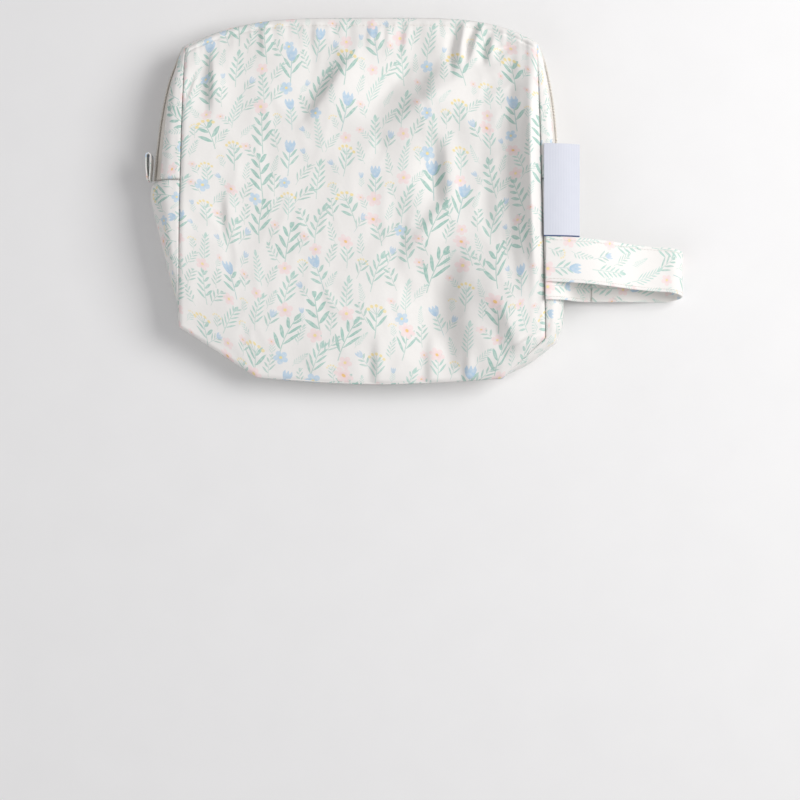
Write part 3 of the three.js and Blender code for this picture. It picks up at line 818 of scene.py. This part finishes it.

# %% [markdown]
# The other finishes are plain. Zip tape is woven with fine ribs along it. Zip and snap are
# moulded, so they are smooth with a slight grain. Satin has threads that run one way, drawn as
# faint vertical ribs. Sewing thread is twisted.

# %% Plain finishes
def ribbed(name, colour, shade, pitch, depth, axis, **shader):
    """A finish with even ribs across one axis of the chart, and a soft unevenness."""
    material, tree, surface = new_material(name, **shader)
    split = add(tree, "SeparateXYZ", {0: add(tree, "UVMap", uv_map="cloth")})
    known = work_out(tree, {"at": split.outputs[axis]}, (
        ("wave", "MULTIPLY", "at", 2 * math.pi / (pitch * MM)),
        ("wave", "SINE", "wave"),
        ("in_wave", "MULTIPLY_ADD", "wave", 0.5, 0.5),
    ))
    place = add(tree, "TexCoord").outputs["Object"]
    uneven = add(tree, "TexNoise", {"Vector": place, "Scale": 120, "Detail": 3})
    work_out(tree, known, (
        ("in_shade", "MULTIPLY_ADD", uneven.outputs[0], 0.8, -0.1),
        ("in_shade", "MULTIPLY", "in_shade", "in_wave"),
        ("height", "MULTIPLY_ADD", "wave", 0.5, uneven.outputs[0]),
    ))
    colours = {6: linear(colour), 7: linear(shade)}
    mixed = add(tree, "Mix", {0: known["in_shade"], **colours}, data_type="RGBA")
    bump = add(tree, "Bump", {"Height": known["height"], "Distance": depth * MM})
    tree.links.new(mixed.outputs[2], surface.inputs["Base Color"])
    tree.links.new(bump.outputs[0], surface.inputs["Normal"])
    return material


def moulded(name, colour, shade, grain, **shader):
    """A moulded plastic with a fine grain."""
    material, tree, surface = new_material(name, **shader)
    place = add(tree, "TexCoord").outputs["Object"]
    uneven = add(tree, "TexNoise", {"Vector": place, "Scale": 1 / (grain * MM), "Detail": 3})
    colours = {6: linear(colour), 7: linear(shade)}
    mixed = add(tree, "Mix", {0: uneven.outputs[0], **colours}, data_type="RGBA")
    bump = add(tree, "Bump", {"Height": uneven.outputs[0], "Strength": 0.3, "Distance": 0.05 * MM})
    tree.links.new(mixed.outputs[2], surface.inputs["Base Color"])
    tree.links.new(bump.outputs[0], surface.inputs["Normal"])
    return material


tape_weave = ribbed("woven_polyester_tape", "#e4ded5", "#d0c8be", 1.2, 0.12, 1, roughness=0.85)
satin = ribbed("polyester_satin", "#d3d5de", "#c8cbd6", 2.2, 0.02, 1, roughness=0.55,
               specular_ior_level=0.25, sheen_weight=0.1, sheen_roughness=0.3)

EDGE_LINE_WIDTH = 0.9


def add_edge_line(material, colour):
    """Lays a thin dark line along the edge where the ribbon's chart starts."""
    tree = material.node_tree
    surface = tree.nodes["Principled BSDF"]
    below = surface.inputs["Base Color"].links[0].from_socket
    split = add(tree, "SeparateXYZ", {0: add(tree, "UVMap", uv_map="cloth")})
    known = work_out(tree, {"x": split.outputs[0]}, (
        ("near", "SUBTRACT", EDGE_LINE_WIDTH * MM, "x"),
        ("in_edge_line", "MULTIPLY_ADD", "near", 2 / MM, 0.5),
    ))
    with_line = lay(tree, below, linear(colour), known["in_edge_line"])
    tree.links.new(with_line, surface.inputs["Base Color"])


# A thin dark navy line along the label's lower edge.
add_edge_line(satin, "#46567f")
nylon = moulded("moulded_nylon", "#ece8e1", "#e0dbd2", 3, roughness=0.38, ior=1.53)
resin = moulded("acetal_resin", "#f4f2ee", "#eceae5", 4, roughness=0.3, ior=1.48)
thread = moulded("spun_polyester_thread", "#f5f2ee", "#d9d3cc", 0.8, roughness=0.7)

# %% [markdown]
# A piece of cloth is a grid that is laid on a surface and given a wall. Blender can make a grid
# with an operator, and moving its points by a formula keeps them evenly spaced, which a sculpted
# or remeshed surface doesn't. The map of the print is written at the same time, in metres of
# real cloth, so a flower has the same size on every piece.

# %% Cloth from a grid
def finish_piece(name, bm, material, replaces=()):
    """Turns a bmesh in metres into a piece that rides on the one body."""
    mesh = bpy.data.meshes.new(name)
    bm.to_mesh(mesh)
    bm.free()
    for face in mesh.polygons:
        face.use_smooth = True
    mesh.materials.append(material)
    piece = bpy.data.objects.new(name, mesh)
    bpy.context.collection.objects.link(piece)
    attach(piece, "root")
    if replaces:
        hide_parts(*replaces)
    print(name, len(mesh.polygons), "faces")
    return piece


def gathered(share, pull):
    """Moves evenly spaced shares towards both ends, where a seam needs finer cloth."""
    return share - pull * math.sin(2 * math.pi * share) / (2 * math.pi)


def cloth(name, columns, rows, place, chart, wall, material, replaces=(), offset=-1,
          pull=0.0):
    """A grid laid on place(u, v) in millimetres, with chart(u, v) as the map of its print."""
    bm = bmesh.new()
    bmesh.ops.create_grid(bm, x_segments=columns, y_segments=rows, size=0.5)
    shares = {}
    for vertex in bm.verts:
        shares[vertex] = gathered(vertex.co.x + 0.5, pull), gathered(vertex.co.y + 0.5, pull)
    layer = bm.loops.layers.uv.new("cloth")
    for vertex, (u, v) in shares.items():
        vertex.co = place(u, v) * MM
    for face in bm.faces:
        for loop in face.loops:
            loop[layer].uv = Vector(chart(*shares[loop.vert])) * MM
    piece = finish_piece(name, bm, material, replaces)
    solid = piece.modifiers.new("wall", "SOLIDIFY")
    solid.thickness = wall * MM
    solid.offset = offset
    return piece


def panel_chart(u, v):
    return (u - 0.5) * PANEL_WIDTH, (v - 0.5) * PANEL_HEIGHT


FRONT_GRID = 218
SEAM_PULL = 0.4
front = cloth("front_cloth", FRONT_GRID, FRONT_GRID, front_point, panel_chart,
              CLOTH_WALL, laminate, ["front_panel"], pull=SEAM_PULL)

# %% [markdown]
# The back panel carries the bag. It lies flat on the floor and lifts a little at its seam.

# %% Back panel
BACK_RIM = 0.12
BACK_GRID = 120
BACK_PUCKER_SIZE, BACK_PUCKER_LIFT = 12, 0.35


def back_point(u, v):
    point = patch(lambda t: gusset_point(t, 1).xy.to_3d(), 1 - u, v)
    rim = clamp01(1 - min(u, 1 - u, v, 1 - v) / BACK_RIM)
    point.z = BACK_LIFT * rim * rim
    pucker = 1 + crumple(point.x, point.y, BACK_PUCKER_SIZE, 3)
    point.z += BACK_PUCKER_LIFT * rim * pucker
    return point


back = cloth("back_cloth", BACK_GRID, BACK_GRID, back_point, panel_chart,
             CLOTH_WALL, laminate, ["back_panel"])

# %% [markdown]
# Gusset and zip strips are bands of the one gusset surface. Cloth that is sewn along both its
# edges puckers there, so small ripples run in from each seam and die out in the middle.

# %% Gusset and zip strips
BAND_STEP = 2
BAND_ROLL = 1.5
PUCKER_SIZE = 11
CALM_MIDDLE = 0.25
SEAMS = ("start", "stop")


def band(name, run, depths, out, wall, pucker, sewn, material, replaces):
    """A band of the gusset between two stations and two shares of its depth. sewn says which of
    its four edges roll into a seam: start, stop, front and back."""
    (start, stop), (low, high) = run, depths
    length = seam_length(start, stop)
    depth = (high - low) * GUSSET_DEPTH

    def place(u, v):
        to_edges = {"start": u * length, "stop": (1 - u) * length,
                    "front": v * depth, "back": (1 - v) * depth}
        from_seam = min(to_edges[edge] for edge in sewn)
        roll = BAND_ROLL * (1 - clamp01(from_seam / ROLL_WIDTH)) ** 2
        ripple = pucker * crumple(u * length, depth * v, PUCKER_SIZE, 9 + start)
        ripple *= mix(CALM_MIDDLE, 1, (2 * v - 1) ** 2)
        return gusset_at(mix(start, stop, u), mix(low, high, v), out + ripple - roll)

    return cloth(name, round(length / BAND_STEP), max(6, round(depth / BAND_STEP)), place,
                 lambda u, v: (u * length, (v - 1) * depth), wall, material, replaces)


SEAM_SHARE = SEAM_GAP / PANEL_HEIGHT
HALF_WALL = CLOTH_WALL / 2
BASE_RUN = (ZIP_STOP + SEAM_SHARE, ZIP_START + SIDES - SEAM_SHARE)
ZIP_RUN = (ZIP_START, ZIP_STOP)
base = band("base_cloth", BASE_RUN, (0, 1), HALF_WALL, CLOTH_WALL, 0.5,
            (*SEAMS, "front", "back"), laminate, ["base_gusset"])
strip_front = band("strip_front_cloth", ZIP_RUN, (0, STRIP_SHARE), HALF_WALL, CLOTH_WALL, 0.4,
                   (*SEAMS, "front"), laminate, ["zip_strip_front"])
strip_back = band("strip_back_cloth", ZIP_RUN, (1 - STRIP_SHARE, 1), HALF_WALL, CLOTH_WALL, 0.4,
                  (*SEAMS, "back"), laminate, ["zip_strip_back"])

# %% [markdown]
# The zip tape is sewn under both strips. A closed coil zip shows two rows of teeth that lock
# between each other. Each tooth is a small rounded bar, and there are hundreds, so each has
# only a few dozen faces.

# %% Zip tape and coil
TAPE_WALL = 1
COIL_WIDTH = 5
COIL_HEIGHT = 1.8
TOOTH_PITCH = 1.3
TOOTH = (0.95, 0.7 * COIL_WIDTH, 0.85 * COIL_HEIGHT)
TOOTH_ROUNDING = 0.25
TOOTH_ASIDE = 0.14 * COIL_WIDTH
TOOTH_LIFT = COIL_HEIGHT / 2 + 0.1
TAPE_TOP = -HALF_WALL - SEAM_GAP
TAPE_EDGES = (STRIP_SHARE - LAP_SHARE, 1 - STRIP_SHARE + LAP_SHARE)
tape = band("zip_tape_weave", ZIP_RUN, TAPE_EDGES, TAPE_TOP, TAPE_WALL, 0,
            SEAMS, tape_weave, ["zip_tape"])


def placed(point, along, up):
    """A matrix that turns X to the way along and Z to the way up, at a point."""
    across = up.cross(along).normalized()
    along = across.cross(up).normalized()
    turn = Matrix((along, across, up)).transposed().to_4x4()
    return Matrix.Translation(point) @ turn


def coil():
    bm = bmesh.new()
    length = seam_length(*ZIP_RUN)
    count = round(length / TOOTH_PITCH)
    for k in range(count):
        t = mix(*ZIP_RUN, (k + 0.5) / count)
        side = 1 if k % 2 else -1
        middle = 0.5 + side * TOOTH_ASIDE / GUSSET_DEPTH
        point = gusset_at(t, middle, TAPE_TOP + TOOTH_LIFT)
        along = gusset_point(t + 0.002, 0.5) - gusset_point(t - 0.002, 0.5)
        size = Matrix.Diagonal((*TOOTH, 1))
        matrix = placed(point, along.normalized(), gusset_normal(t, 0.5)) @ size
        bmesh.ops.create_cube(bm, size=1, matrix=Matrix.Scale(MM, 4) @ matrix)
    bmesh.ops.bevel(bm, geom=list(bm.edges), offset=TOOTH_ROUNDING * MM, segments=1,
                    profile=0.5, affect="EDGES", material=-1)
    return finish_piece("coil_teeth", bm, nylon, ["zip_coil"])


coil()

# %% [markdown]
# The slider is hidden under the label. It is a rounded body over the coil, a bridge, and a pull
# that hangs down the zip with a hole through its end.

# %% Slider and pull
SLIDER_LENGTH, SLIDER_WIDTH, SLIDER_HEIGHT = 12, 9, 3.2
PULL_LENGTH, PULL_WIDTH, PULL_WALL = 26, 6, 1.6
SLIDER_DROP = 16
BODY_WALL, BRIDGE = 1.3, 1.1
ARM_WIDTH, HEAD, GRIP = 1.4, 4, 9
slider_foot = gusset_at(ZIP_STOP - SLIDER_DROP / PANEL_HEIGHT, 0.5,
                        TAPE_TOP + SEAM_GAP + COIL_HEIGHT + SEAM_GAP)


def rounded_block(bm, low, high, radius):
    """A box between two corners with all its edges rounded."""
    low, high = Vector(low), Vector(high)
    size = Matrix.Diagonal((*(high - low), 1))
    made = bmesh.ops.create_cube(bm, size=1, matrix=Matrix.Translation((low + high) / 2) @ size)
    edges = {edge for vertex in made["verts"] for edge in vertex.link_edges}
    bmesh.ops.bevel(bm, geom=list(edges), offset=radius, segments=3,
                    profile=0.5, affect="EDGES", material=-1)


def slider_and_pull():
    """The body, the bridge, and a pull of two arms, a head and a grip."""
    bm = bmesh.new()
    high, broad = SLIDER_LENGTH / 2, SLIDER_WIDTH / 2
    rounded_block(bm, (0, -high, -broad), (BODY_WALL, high, broad), 0.6)
    bridge_top = SLIDER_HEIGHT + PULL_WALL * 0.75
    rounded_block(bm, (BODY_WALL - 0.2, -0.3 * high, -BRIDGE), (bridge_top, 0.5 * high, BRIDGE), 0.5)
    low, top = SLIDER_HEIGHT - PULL_WALL / 2, SLIDER_HEIGHT + PULL_WALL / 2
    tail = high - PULL_LENGTH
    side, arm = PULL_WIDTH / 2, PULL_WIDTH / 2 - ARM_WIDTH
    rounded_block(bm, (low, tail + GRIP - 2, -side), (top, high - HEAD, -arm), 0.5)
    rounded_block(bm, (low, tail + GRIP - 2, arm), (top, high - HEAD, side), 0.5)
    rounded_block(bm, (low, high - HEAD - 0.4, -side), (top, high - HEAD + ARM_WIDTH, side), 0.5)
    rounded_block(bm, (low, tail, -side), (top, tail + GRIP, side), 0.7)
    bmesh.ops.transform(bm, matrix=Matrix.Scale(MM, 4) @ Matrix.Translation(slider_foot),
                        verts=list(bm.verts))
    return finish_piece("zip_slider_and_pull", bm, nylon, ["zip_slider"])


slider_and_pull()

# %% [markdown]
# Strap, tab, label and end loop are ribbons: a path that is walked at an even pace, with the
# width laid across it. They are short and flat or bent in one plane, so a path says all there
# is to say about them.

# %% Ribbons
RIPPLE_SIZE = 16


def walk(points):
    """Gives a place for any distance walked along the points, and the whole distance."""
    marks = [0.0]
    for a, b in zip(points, points[1:]):
        marks.append(marks[-1] + (b - a).length)

    def at(distance):
        distance = min(max(distance, 0), marks[-1] - 1e-6)
        part = next(i for i in range(1, len(marks)) if marks[i] > distance)
        share = (distance - marks[part - 1]) / (marks[part] - marks[part - 1])
        return points[part - 1].lerp(points[part], share)

    return at, marks[-1]


def ribbon_frame(at, length, across, distance):
    """The place, the way along and the way out, at a distance along a ribbon."""
    small = 1.2
    along = (at(min(length, distance + small)) - at(max(0, distance - small))).normalized()
    flat = (along - across * along.dot(across)).normalized()
    return at(distance), along, flat.cross(across)


def ribbon(name, points, width, wall, across, wave, material, replaces, step=1.6):
    at, length = walk(points)

    def place(u, v):
        point, _, out = ribbon_frame(at, length, across, u * length)
        ripple = wave * crumple(u * length, v * width, RIPPLE_SIZE, len(name))
        return point + across * ((v - 0.5) * width) + out * ripple

    piece = cloth(name, round(length / step), round(width / step), place,
                  lambda u, v: (v * width, u * length), wall, material, replaces, 0)
    soft = piece.modifiers.new("soft_edges", "BEVEL")
    soft.width = 0.3 * wall * MM
    soft.segments = 2
    soft.limit_method = "ANGLE"
    soft.angle_limit = math.radians(50)
    return piece, at, length


# %% [markdown]
# The handle is one long strap and one short tab, both sewn into the side seam. The strap goes
# out, turns back round a soft curl and lies on the tab, where a snap holds the two. Its path is
# two level falls with a half circle between them.

# %% Strap and tab
STRAP_WIDTH, STRAP_REACH, STRAP_WALL = 35, 111, 1.4
STRAP_TOP, STRAP_SKEW = -29, 14
CURL_RADIUS = 11
TAB_REACH, TAB_RISE, SNAP_LAP = 58, 6, 18


def seam_on_right(y):
    return seam(side_station("right", y))


strap_middle = STRAP_TOP - STRAP_WIDTH / 2
tab_middle = strap_middle - STRAP_SKEW
tab_foot = tab_middle - STRAP_WIDTH / 2
strap_root = max(seam_on_right(STRAP_TOP).x, seam_on_right(tab_foot).x) + SEAM_GAP
strap_end = TAB_REACH - SNAP_LAP
layer_step = STRAP_WALL + SEAM_GAP
gusset_top = [gusset_at(side_station("right", y), 0, HALF_WALL).z for y in (STRAP_TOP, tab_foot)]
tab_high = max(gusset_top) + SEAM_GAP + STRAP_WALL / 2
tab_low = TAB_RISE + STRAP_WALL / 2
curl_centre = STRAP_REACH - CURL_RADIUS
curl_height = CURL_RADIUS + STRAP_WALL / 2
curl_y = strap_middle - STRAP_SKEW / 2


def beside(x, y, z):
    return Vector((strap_root + x, y, z))


def fall(start, end, count):
    """A smooth fall from one height to another, level at both ends."""
    reach = end.x - start.x
    first = Vector((start.x + 0.6 * reach, mix(start.y, end.y, 0.3), start.z))
    second = Vector((start.x + 0.55 * reach, mix(start.y, end.y, 0.7), end.z))
    return interpolate_bezier(start, first, second, end, count + 1)


def curl(count):
    points = []
    for k in range(1, count):
        angle = math.pi * (0.5 - k / count)
        points.append(beside(
            curl_centre + CURL_RADIUS * math.cos(angle),
            mix(curl_y, tab_middle, k / count),
            curl_height + CURL_RADIUS * math.sin(angle),
        ))
    return points


tab_points = fall(beside(0, tab_middle, tab_high), beside(strap_end, tab_middle, tab_low), 30)
tab_points.append(beside(TAB_REACH, tab_middle, tab_low))
strap_points = [
    *fall(beside(0, strap_middle, tab_high + layer_step),
          beside(curl_centre, curl_y, curl_height + CURL_RADIUS), 40),
    *curl(24),
    *fall(beside(curl_centre, tab_middle, curl_height - CURL_RADIUS),
          beside(TAB_REACH, tab_middle, tab_low + layer_step), 20),
    beside(strap_end, tab_middle, tab_low + layer_step),
]
ALONG_Y = Vector((0, 1, 0))
tab, tab_at, tab_length = ribbon("tab_cloth", tab_points, STRAP_WIDTH, STRAP_WALL, ALONG_Y,
                                 0.25, laminate, ["snap_tab"])
strap, strap_at, strap_length = ribbon("strap_cloth", strap_points, STRAP_WIDTH, STRAP_WALL,
                                       ALONG_Y, 0.3, laminate, ["handle_strap"])
print("strap", round(strap_length), "mm, tab", round(tab_length), "mm")

# %% [markdown]
# The label is a satin ribbon folded in half, with both ends in the side seam. It droops over the
# gusset. The same ribbon folded the other way is the loop at the zip's left end.

# %% Label and end loop
LABEL_WIDTH, LABEL_LENGTH, LABEL_TOP = 29, 72, 43
LABEL_WALL, LABEL_OPENING, LABEL_DROOP = 1, 1, 9
DROOP_POWER = 2.2
LOOP_LENGTH, LOOP_WIDTH, LOOP_OPENING, LOOP_WALL = 22, 16, 2.6, 1
LOOP_NECK = 0.45
SATIN_WALL = 0.5

label_x = max(seam_on_right(LABEL_TOP).x, seam_on_right(LABEL_TOP - LABEL_LENGTH).x) + SEAM_GAP
label_z = seam_on_right(LABEL_TOP - LABEL_LENGTH / 2).z - CLOTH_WALL
label_height = 2 * LABEL_WALL + LABEL_OPENING
label_bend = LABEL_WIDTH - label_height / 2


def label_place(x, z):
    droop = LABEL_DROOP * (min(x, label_bend) / LABEL_WIDTH) ** DROOP_POWER
    return Vector((label_x + x, LABEL_TOP - LABEL_LENGTH / 2, label_z + z - droop))


def hairpin(reach, low, high, place, count=14):
    """A path out along the top, round a half circle and back along the bottom."""
    radius = (high - low) / 2
    out = [place(reach * k / count, high) for k in range(count + 1)]
    bend = []
    for k in range(1, count):
        angle = math.pi * (0.5 - k / count)
        bend.append(place(reach + radius * math.cos(angle), low + radius + radius * math.sin(angle)))
    return [*out, *bend, *(place(reach * (1 - k / count), low) for k in range(count + 1))]


label_points = hairpin(label_bend, LABEL_WALL / 2, label_height - LABEL_WALL / 2, label_place)
label, label_at, label_length = ribbon("satin_label", label_points, LABEL_LENGTH, SATIN_WALL,
                                       ALONG_Y, 0.25, satin, ["label"], 1.2)

loop_foot = gusset_at(ZIP_START, 0.5, TAPE_TOP + SEAM_GAP + COIL_HEIGHT + SEAM_GAP)
loop_reach = LOOP_OPENING + 2 * LOOP_WALL


def loop_place(up, left):
    """The two ends of the loop are sewn together, so it opens like a drop."""
    spread = mix(LOOP_NECK, 1, smooth(up / (0.6 * LOOP_LENGTH)))
    left = loop_reach / 2 + (left - loop_reach / 2) * spread
    return loop_foot + Vector((-left, up, 0))


loop_points = hairpin(LOOP_LENGTH - loop_reach / 2, LOOP_WALL / 2,
                      loop_reach - LOOP_WALL / 2, loop_place)
end_loop, _, loop_length = ribbon("zip_end_loop_tape", loop_points, LOOP_WIDTH, LOOP_WALL,
                                  Vector((0, 0, -1)), 0.1, laminate,
                                  ["zip_end_loop"], 1)

# %% [markdown]
# The snap is turned, so it is one profile spun round its middle: a low domed cap with a dimple
# on top, a shank through the cloth and a flat cap below.

# %% Snap
SNAP_RADIUS, SNAP_SHANK, SNAP_CAP = 6, 2, 1.4
snap_bottom = TAB_RISE - SEAM_GAP - SNAP_CAP
snap_top = TAB_RISE + 2 * layer_step + SNAP_CAP
SNAP_PROFILE = (
    (0.0, snap_bottom),
    (0.82 * SNAP_RADIUS, snap_bottom),
    (0.97 * SNAP_RADIUS, snap_bottom + 0.4),
    (SNAP_RADIUS, snap_bottom + SNAP_CAP),
    (SNAP_SHANK, snap_bottom + SNAP_CAP),
    (SNAP_SHANK, snap_top - SNAP_CAP),
    (SNAP_RADIUS, snap_top - SNAP_CAP),
    (0.97 * SNAP_RADIUS, snap_top - 0.5),
    (0.8 * SNAP_RADIUS, snap_top),
    (0.34 * SNAP_RADIUS, snap_top - 0.1),
    (0.22 * SNAP_RADIUS, snap_top - 0.5),
    (0.0, snap_top - 0.6),
)


def snap():
    bm = bmesh.new()
    line = [bm.verts.new((radius, 0, height)) for radius, height in SNAP_PROFILE]
    edges = [bm.edges.new(pair) for pair in zip(line, line[1:])]
    bmesh.ops.spin(bm, geom=[*line, *edges], cent=(0, 0, 0), axis=(0, 0, 1),
                   angle=2 * math.pi, steps=48, use_merge=True)
    bmesh.ops.remove_doubles(bm, verts=list(bm.verts), dist=0.001)
    bmesh.ops.recalc_face_normals(bm, faces=list(bm.faces))
    middle = beside(strap_end + SNAP_LAP / 2, tab_middle, 0)
    bmesh.ops.transform(bm, matrix=Matrix.Scale(MM, 4) @ Matrix.Translation(middle),
                        verts=list(bm.verts))
    return finish_piece("snap_caps", bm, resin, ["strap_snap"])


snap()

# %% [markdown]
# Stitches show as a dotted line, because each one dips into the cloth at its ends. Each stitch
# is one small long ball, laid along its seam. The rows follow the surfaces that they hold.

# %% Stitches
STITCH_PITCH = 2.7
STITCH_LENGTH = 2.1
THREAD = 0.6
PROUD, HEM_PROUD = 0.1, 0.12
INSET, END_INSET, ZIP_INSET, CORNER = 2.5, 3, 2, 2
HEM_RUN = (0.19, 0.86)


def sew(bm, place, length):
    """Adds a row of stitches. place gives a point and the way out, for a distance."""
    for k in range(int(length / STITCH_PITCH)):
        middle = (k + 0.5) * STITCH_PITCH
        point, out = place(middle)
        along = (place(middle + 0.5)[0] - place(middle - 0.5)[0]).normalized()
        turn = placed(point, along, out)
        upright = Matrix.Rotation(math.pi / 2, 4, "Y")
        size = Matrix.Diagonal((THREAD / 2, THREAD / 2, STITCH_LENGTH / 2, 1))
        bmesh.ops.create_uvsphere(bm, u_segments=7, v_segments=5, radius=1,
                                  matrix=Matrix.Scale(MM, 4) @ turn @ upright @ size)


def stitched(name, rows):
    bm = bmesh.new()
    for place, length in rows:
        sew(bm, place, length)
    return finish_piece(name, bm, thread)


def hem_row():
    """A row along the top of the front panel, in the groove below its edge."""
    v = 1 - HEM / PANEL_HEIGHT
    at, length = walk([front_point(mix(*HEM_RUN, k / 240), v) for k in range(241)])
    upwards = Vector((0, 0, 1))
    return lambda s: (at(s) + upwards * HEM_PROUD, upwards), length


def strip_row(across):
    """A row along the zip, at a share of the gusset's depth."""
    ticks = [mix(*ZIP_RUN, k / 400) for k in range(401)]
    at, length = walk([gusset_at(t, across, HALF_WALL + PROUD) for t in ticks])
    return lambda s: (at(s), gusset_normal(mix(*ZIP_RUN, s / length), across)), length


def strap_rows(at, length):
    """A row along each edge of a strap, and one straight across its end."""
    def beside_edge(side):
        def place(s):
            point, _, out = ribbon_frame(at, length, ALONG_Y, s)
            across = ALONG_Y * (side * (STRAP_WIDTH / 2 - INSET))
            return point + across + out * (STRAP_WALL / 2 + PROUD), out

        return place, length

    point, _, out = ribbon_frame(at, length, ALONG_Y, length - END_INSET)
    low = point + out * (STRAP_WALL / 2 + PROUD) - ALONG_Y * (STRAP_WIDTH / 2 - CORNER)
    across_end = (lambda s: (low + ALONG_Y * s, out)), STRAP_WIDTH - 2 * CORNER
    return [beside_edge(1), beside_edge(-1), across_end]


stitched("hem_stitches", [hem_row()])
from_fold = ZIP_INSET / GUSSET_DEPTH
stitched("zip_stitches", [strip_row(STRIP_SHARE - from_fold), strip_row(1 - STRIP_SHARE + from_fold)])
stitched("strap_stitches", [*strap_rows(strap_at, strap_length), *strap_rows(tab_at, tab_length)])

# %% [markdown]
# Each piece of cloth was cut flat before it was sewn, and its size then is printed here, in
# millimetres. The panels are cut to the outline of the bag, so their area is less than the
# rectangle's. The rest are plain strips. The gusset is as deep as its fullest section, where the
# cloth is taut: two strips and the zip tape, less the laps, make the same depth.

# %% Flat sizes of the cloth
def outline_area(edge, steps=240):
    """The area inside an edge that is given by the station, in square millimetres."""
    points = [edge(SIDES * k / steps) for k in range(steps)]
    pairs = zip(points, points[1:] + points[:1])
    return abs(sum(a.x * b.y - b.x * a.y for a, b in pairs)) / 2


GUSSET_CUT = 64
TAPE_CUT = 32
STRIP_CUT = 18


def declare(piece, width, length):
    print(piece.name, "is cut to", round(width), "by", round(length), "mm")


panel_area = outline_area(seam) * MM * MM
declare(front, PANEL_WIDTH, PANEL_HEIGHT)
declare(back, PANEL_WIDTH, PANEL_HEIGHT)
zip_length = seam_length(*ZIP_RUN)
declare(base, seam_length(*BASE_RUN), GUSSET_CUT)
declare(strip_front, zip_length, STRIP_CUT)
declare(strip_back, zip_length, STRIP_CUT)
declare(tape, zip_length, TAPE_CUT)
declare(strap, STRAP_WIDTH, strap_length)
declare(tab, STRAP_WIDTH, tab_length)
declare(label, LABEL_LENGTH, label_length)
declare(end_loop, LOOP_WIDTH, loop_length)

# %% [markdown]
# The floor is a plain pale sheet. The light is a large soft box to the right, a weaker one at
# the lower left and a pale room, so the folds shade gently to the left. The camera looks straight
# down, and its frame is the photograph's.

# %% Floor, light and camera
FLOOR_DROP = 0.1
floor_grid = bmesh.new()
bmesh.ops.create_grid(floor_grid, x_segments=1, y_segments=1, size=3)
bmesh.ops.translate(floor_grid, vec=(0, 0, -FLOOR_DROP * MM), verts=list(floor_grid.verts))
floor_mesh = bpy.data.meshes.new("floor")
floor_grid.to_mesh(floor_mesh)
floor_grid.free()
floor = bpy.data.objects.new("floor", floor_mesh)
bpy.context.collection.objects.link(floor)
backdrop = moulded("matt_paper", "#f2f1f0", "#eeedec", 40, roughness=0.9)
floor_mesh.materials.append(backdrop)

PHOTO_SCALE = 0.78
PHOTO_ORIGIN = (360.5, 200)
PHOTO_SIDE = 800
SHARP_HEIGHT = 40
LENS, SENSOR = 85, 36
camera_data = bpy.data.cameras.new("camera")
camera_data.lens = LENS
camera_data.sensor_width = SENSOR
camera = bpy.data.objects.new("camera", camera_data)
bpy.context.collection.objects.link(camera)
seen = PHOTO_SIDE * PHOTO_SCALE
camera.location = (
    (PHOTO_SIDE / 2 - PHOTO_ORIGIN[0]) * PHOTO_SCALE * MM,
    (PHOTO_ORIGIN[1] - PHOTO_SIDE / 2) * PHOTO_SCALE * MM,
    (seen * LENS / SENSOR + SHARP_HEIGHT) * MM,
)
bpy.context.scene.camera = camera


def soft_box(name, place, size, power):
    """A square white light that faces the bag."""
    data = bpy.data.lights.new(name, "AREA")
    data.size = size
    data.energy = power
    box = bpy.data.objects.new(name, data)
    bpy.context.collection.objects.link(box)
    box.location = place
    box.rotation_euler = (-Vector(place)).to_track_quat("-Z", "Y").to_euler()
    print(name, power, "watts")


soft_box("key_light", (1.3, 0.3, 1.3), 1.1, 25.5)
soft_box("fill_light", (-0.9, -0.7, 1.3), 1.2, 4)
world = bpy.data.worlds.new("pale_room")
bpy.context.scene.world = world
world.use_nodes = True
room = world.node_tree.nodes["Background"].inputs
room["Color"].default_value = linear("#fbfbff")
room["Strength"].default_value = 0.41
bpy.context.scene.view_settings.view_transform = "Standard"
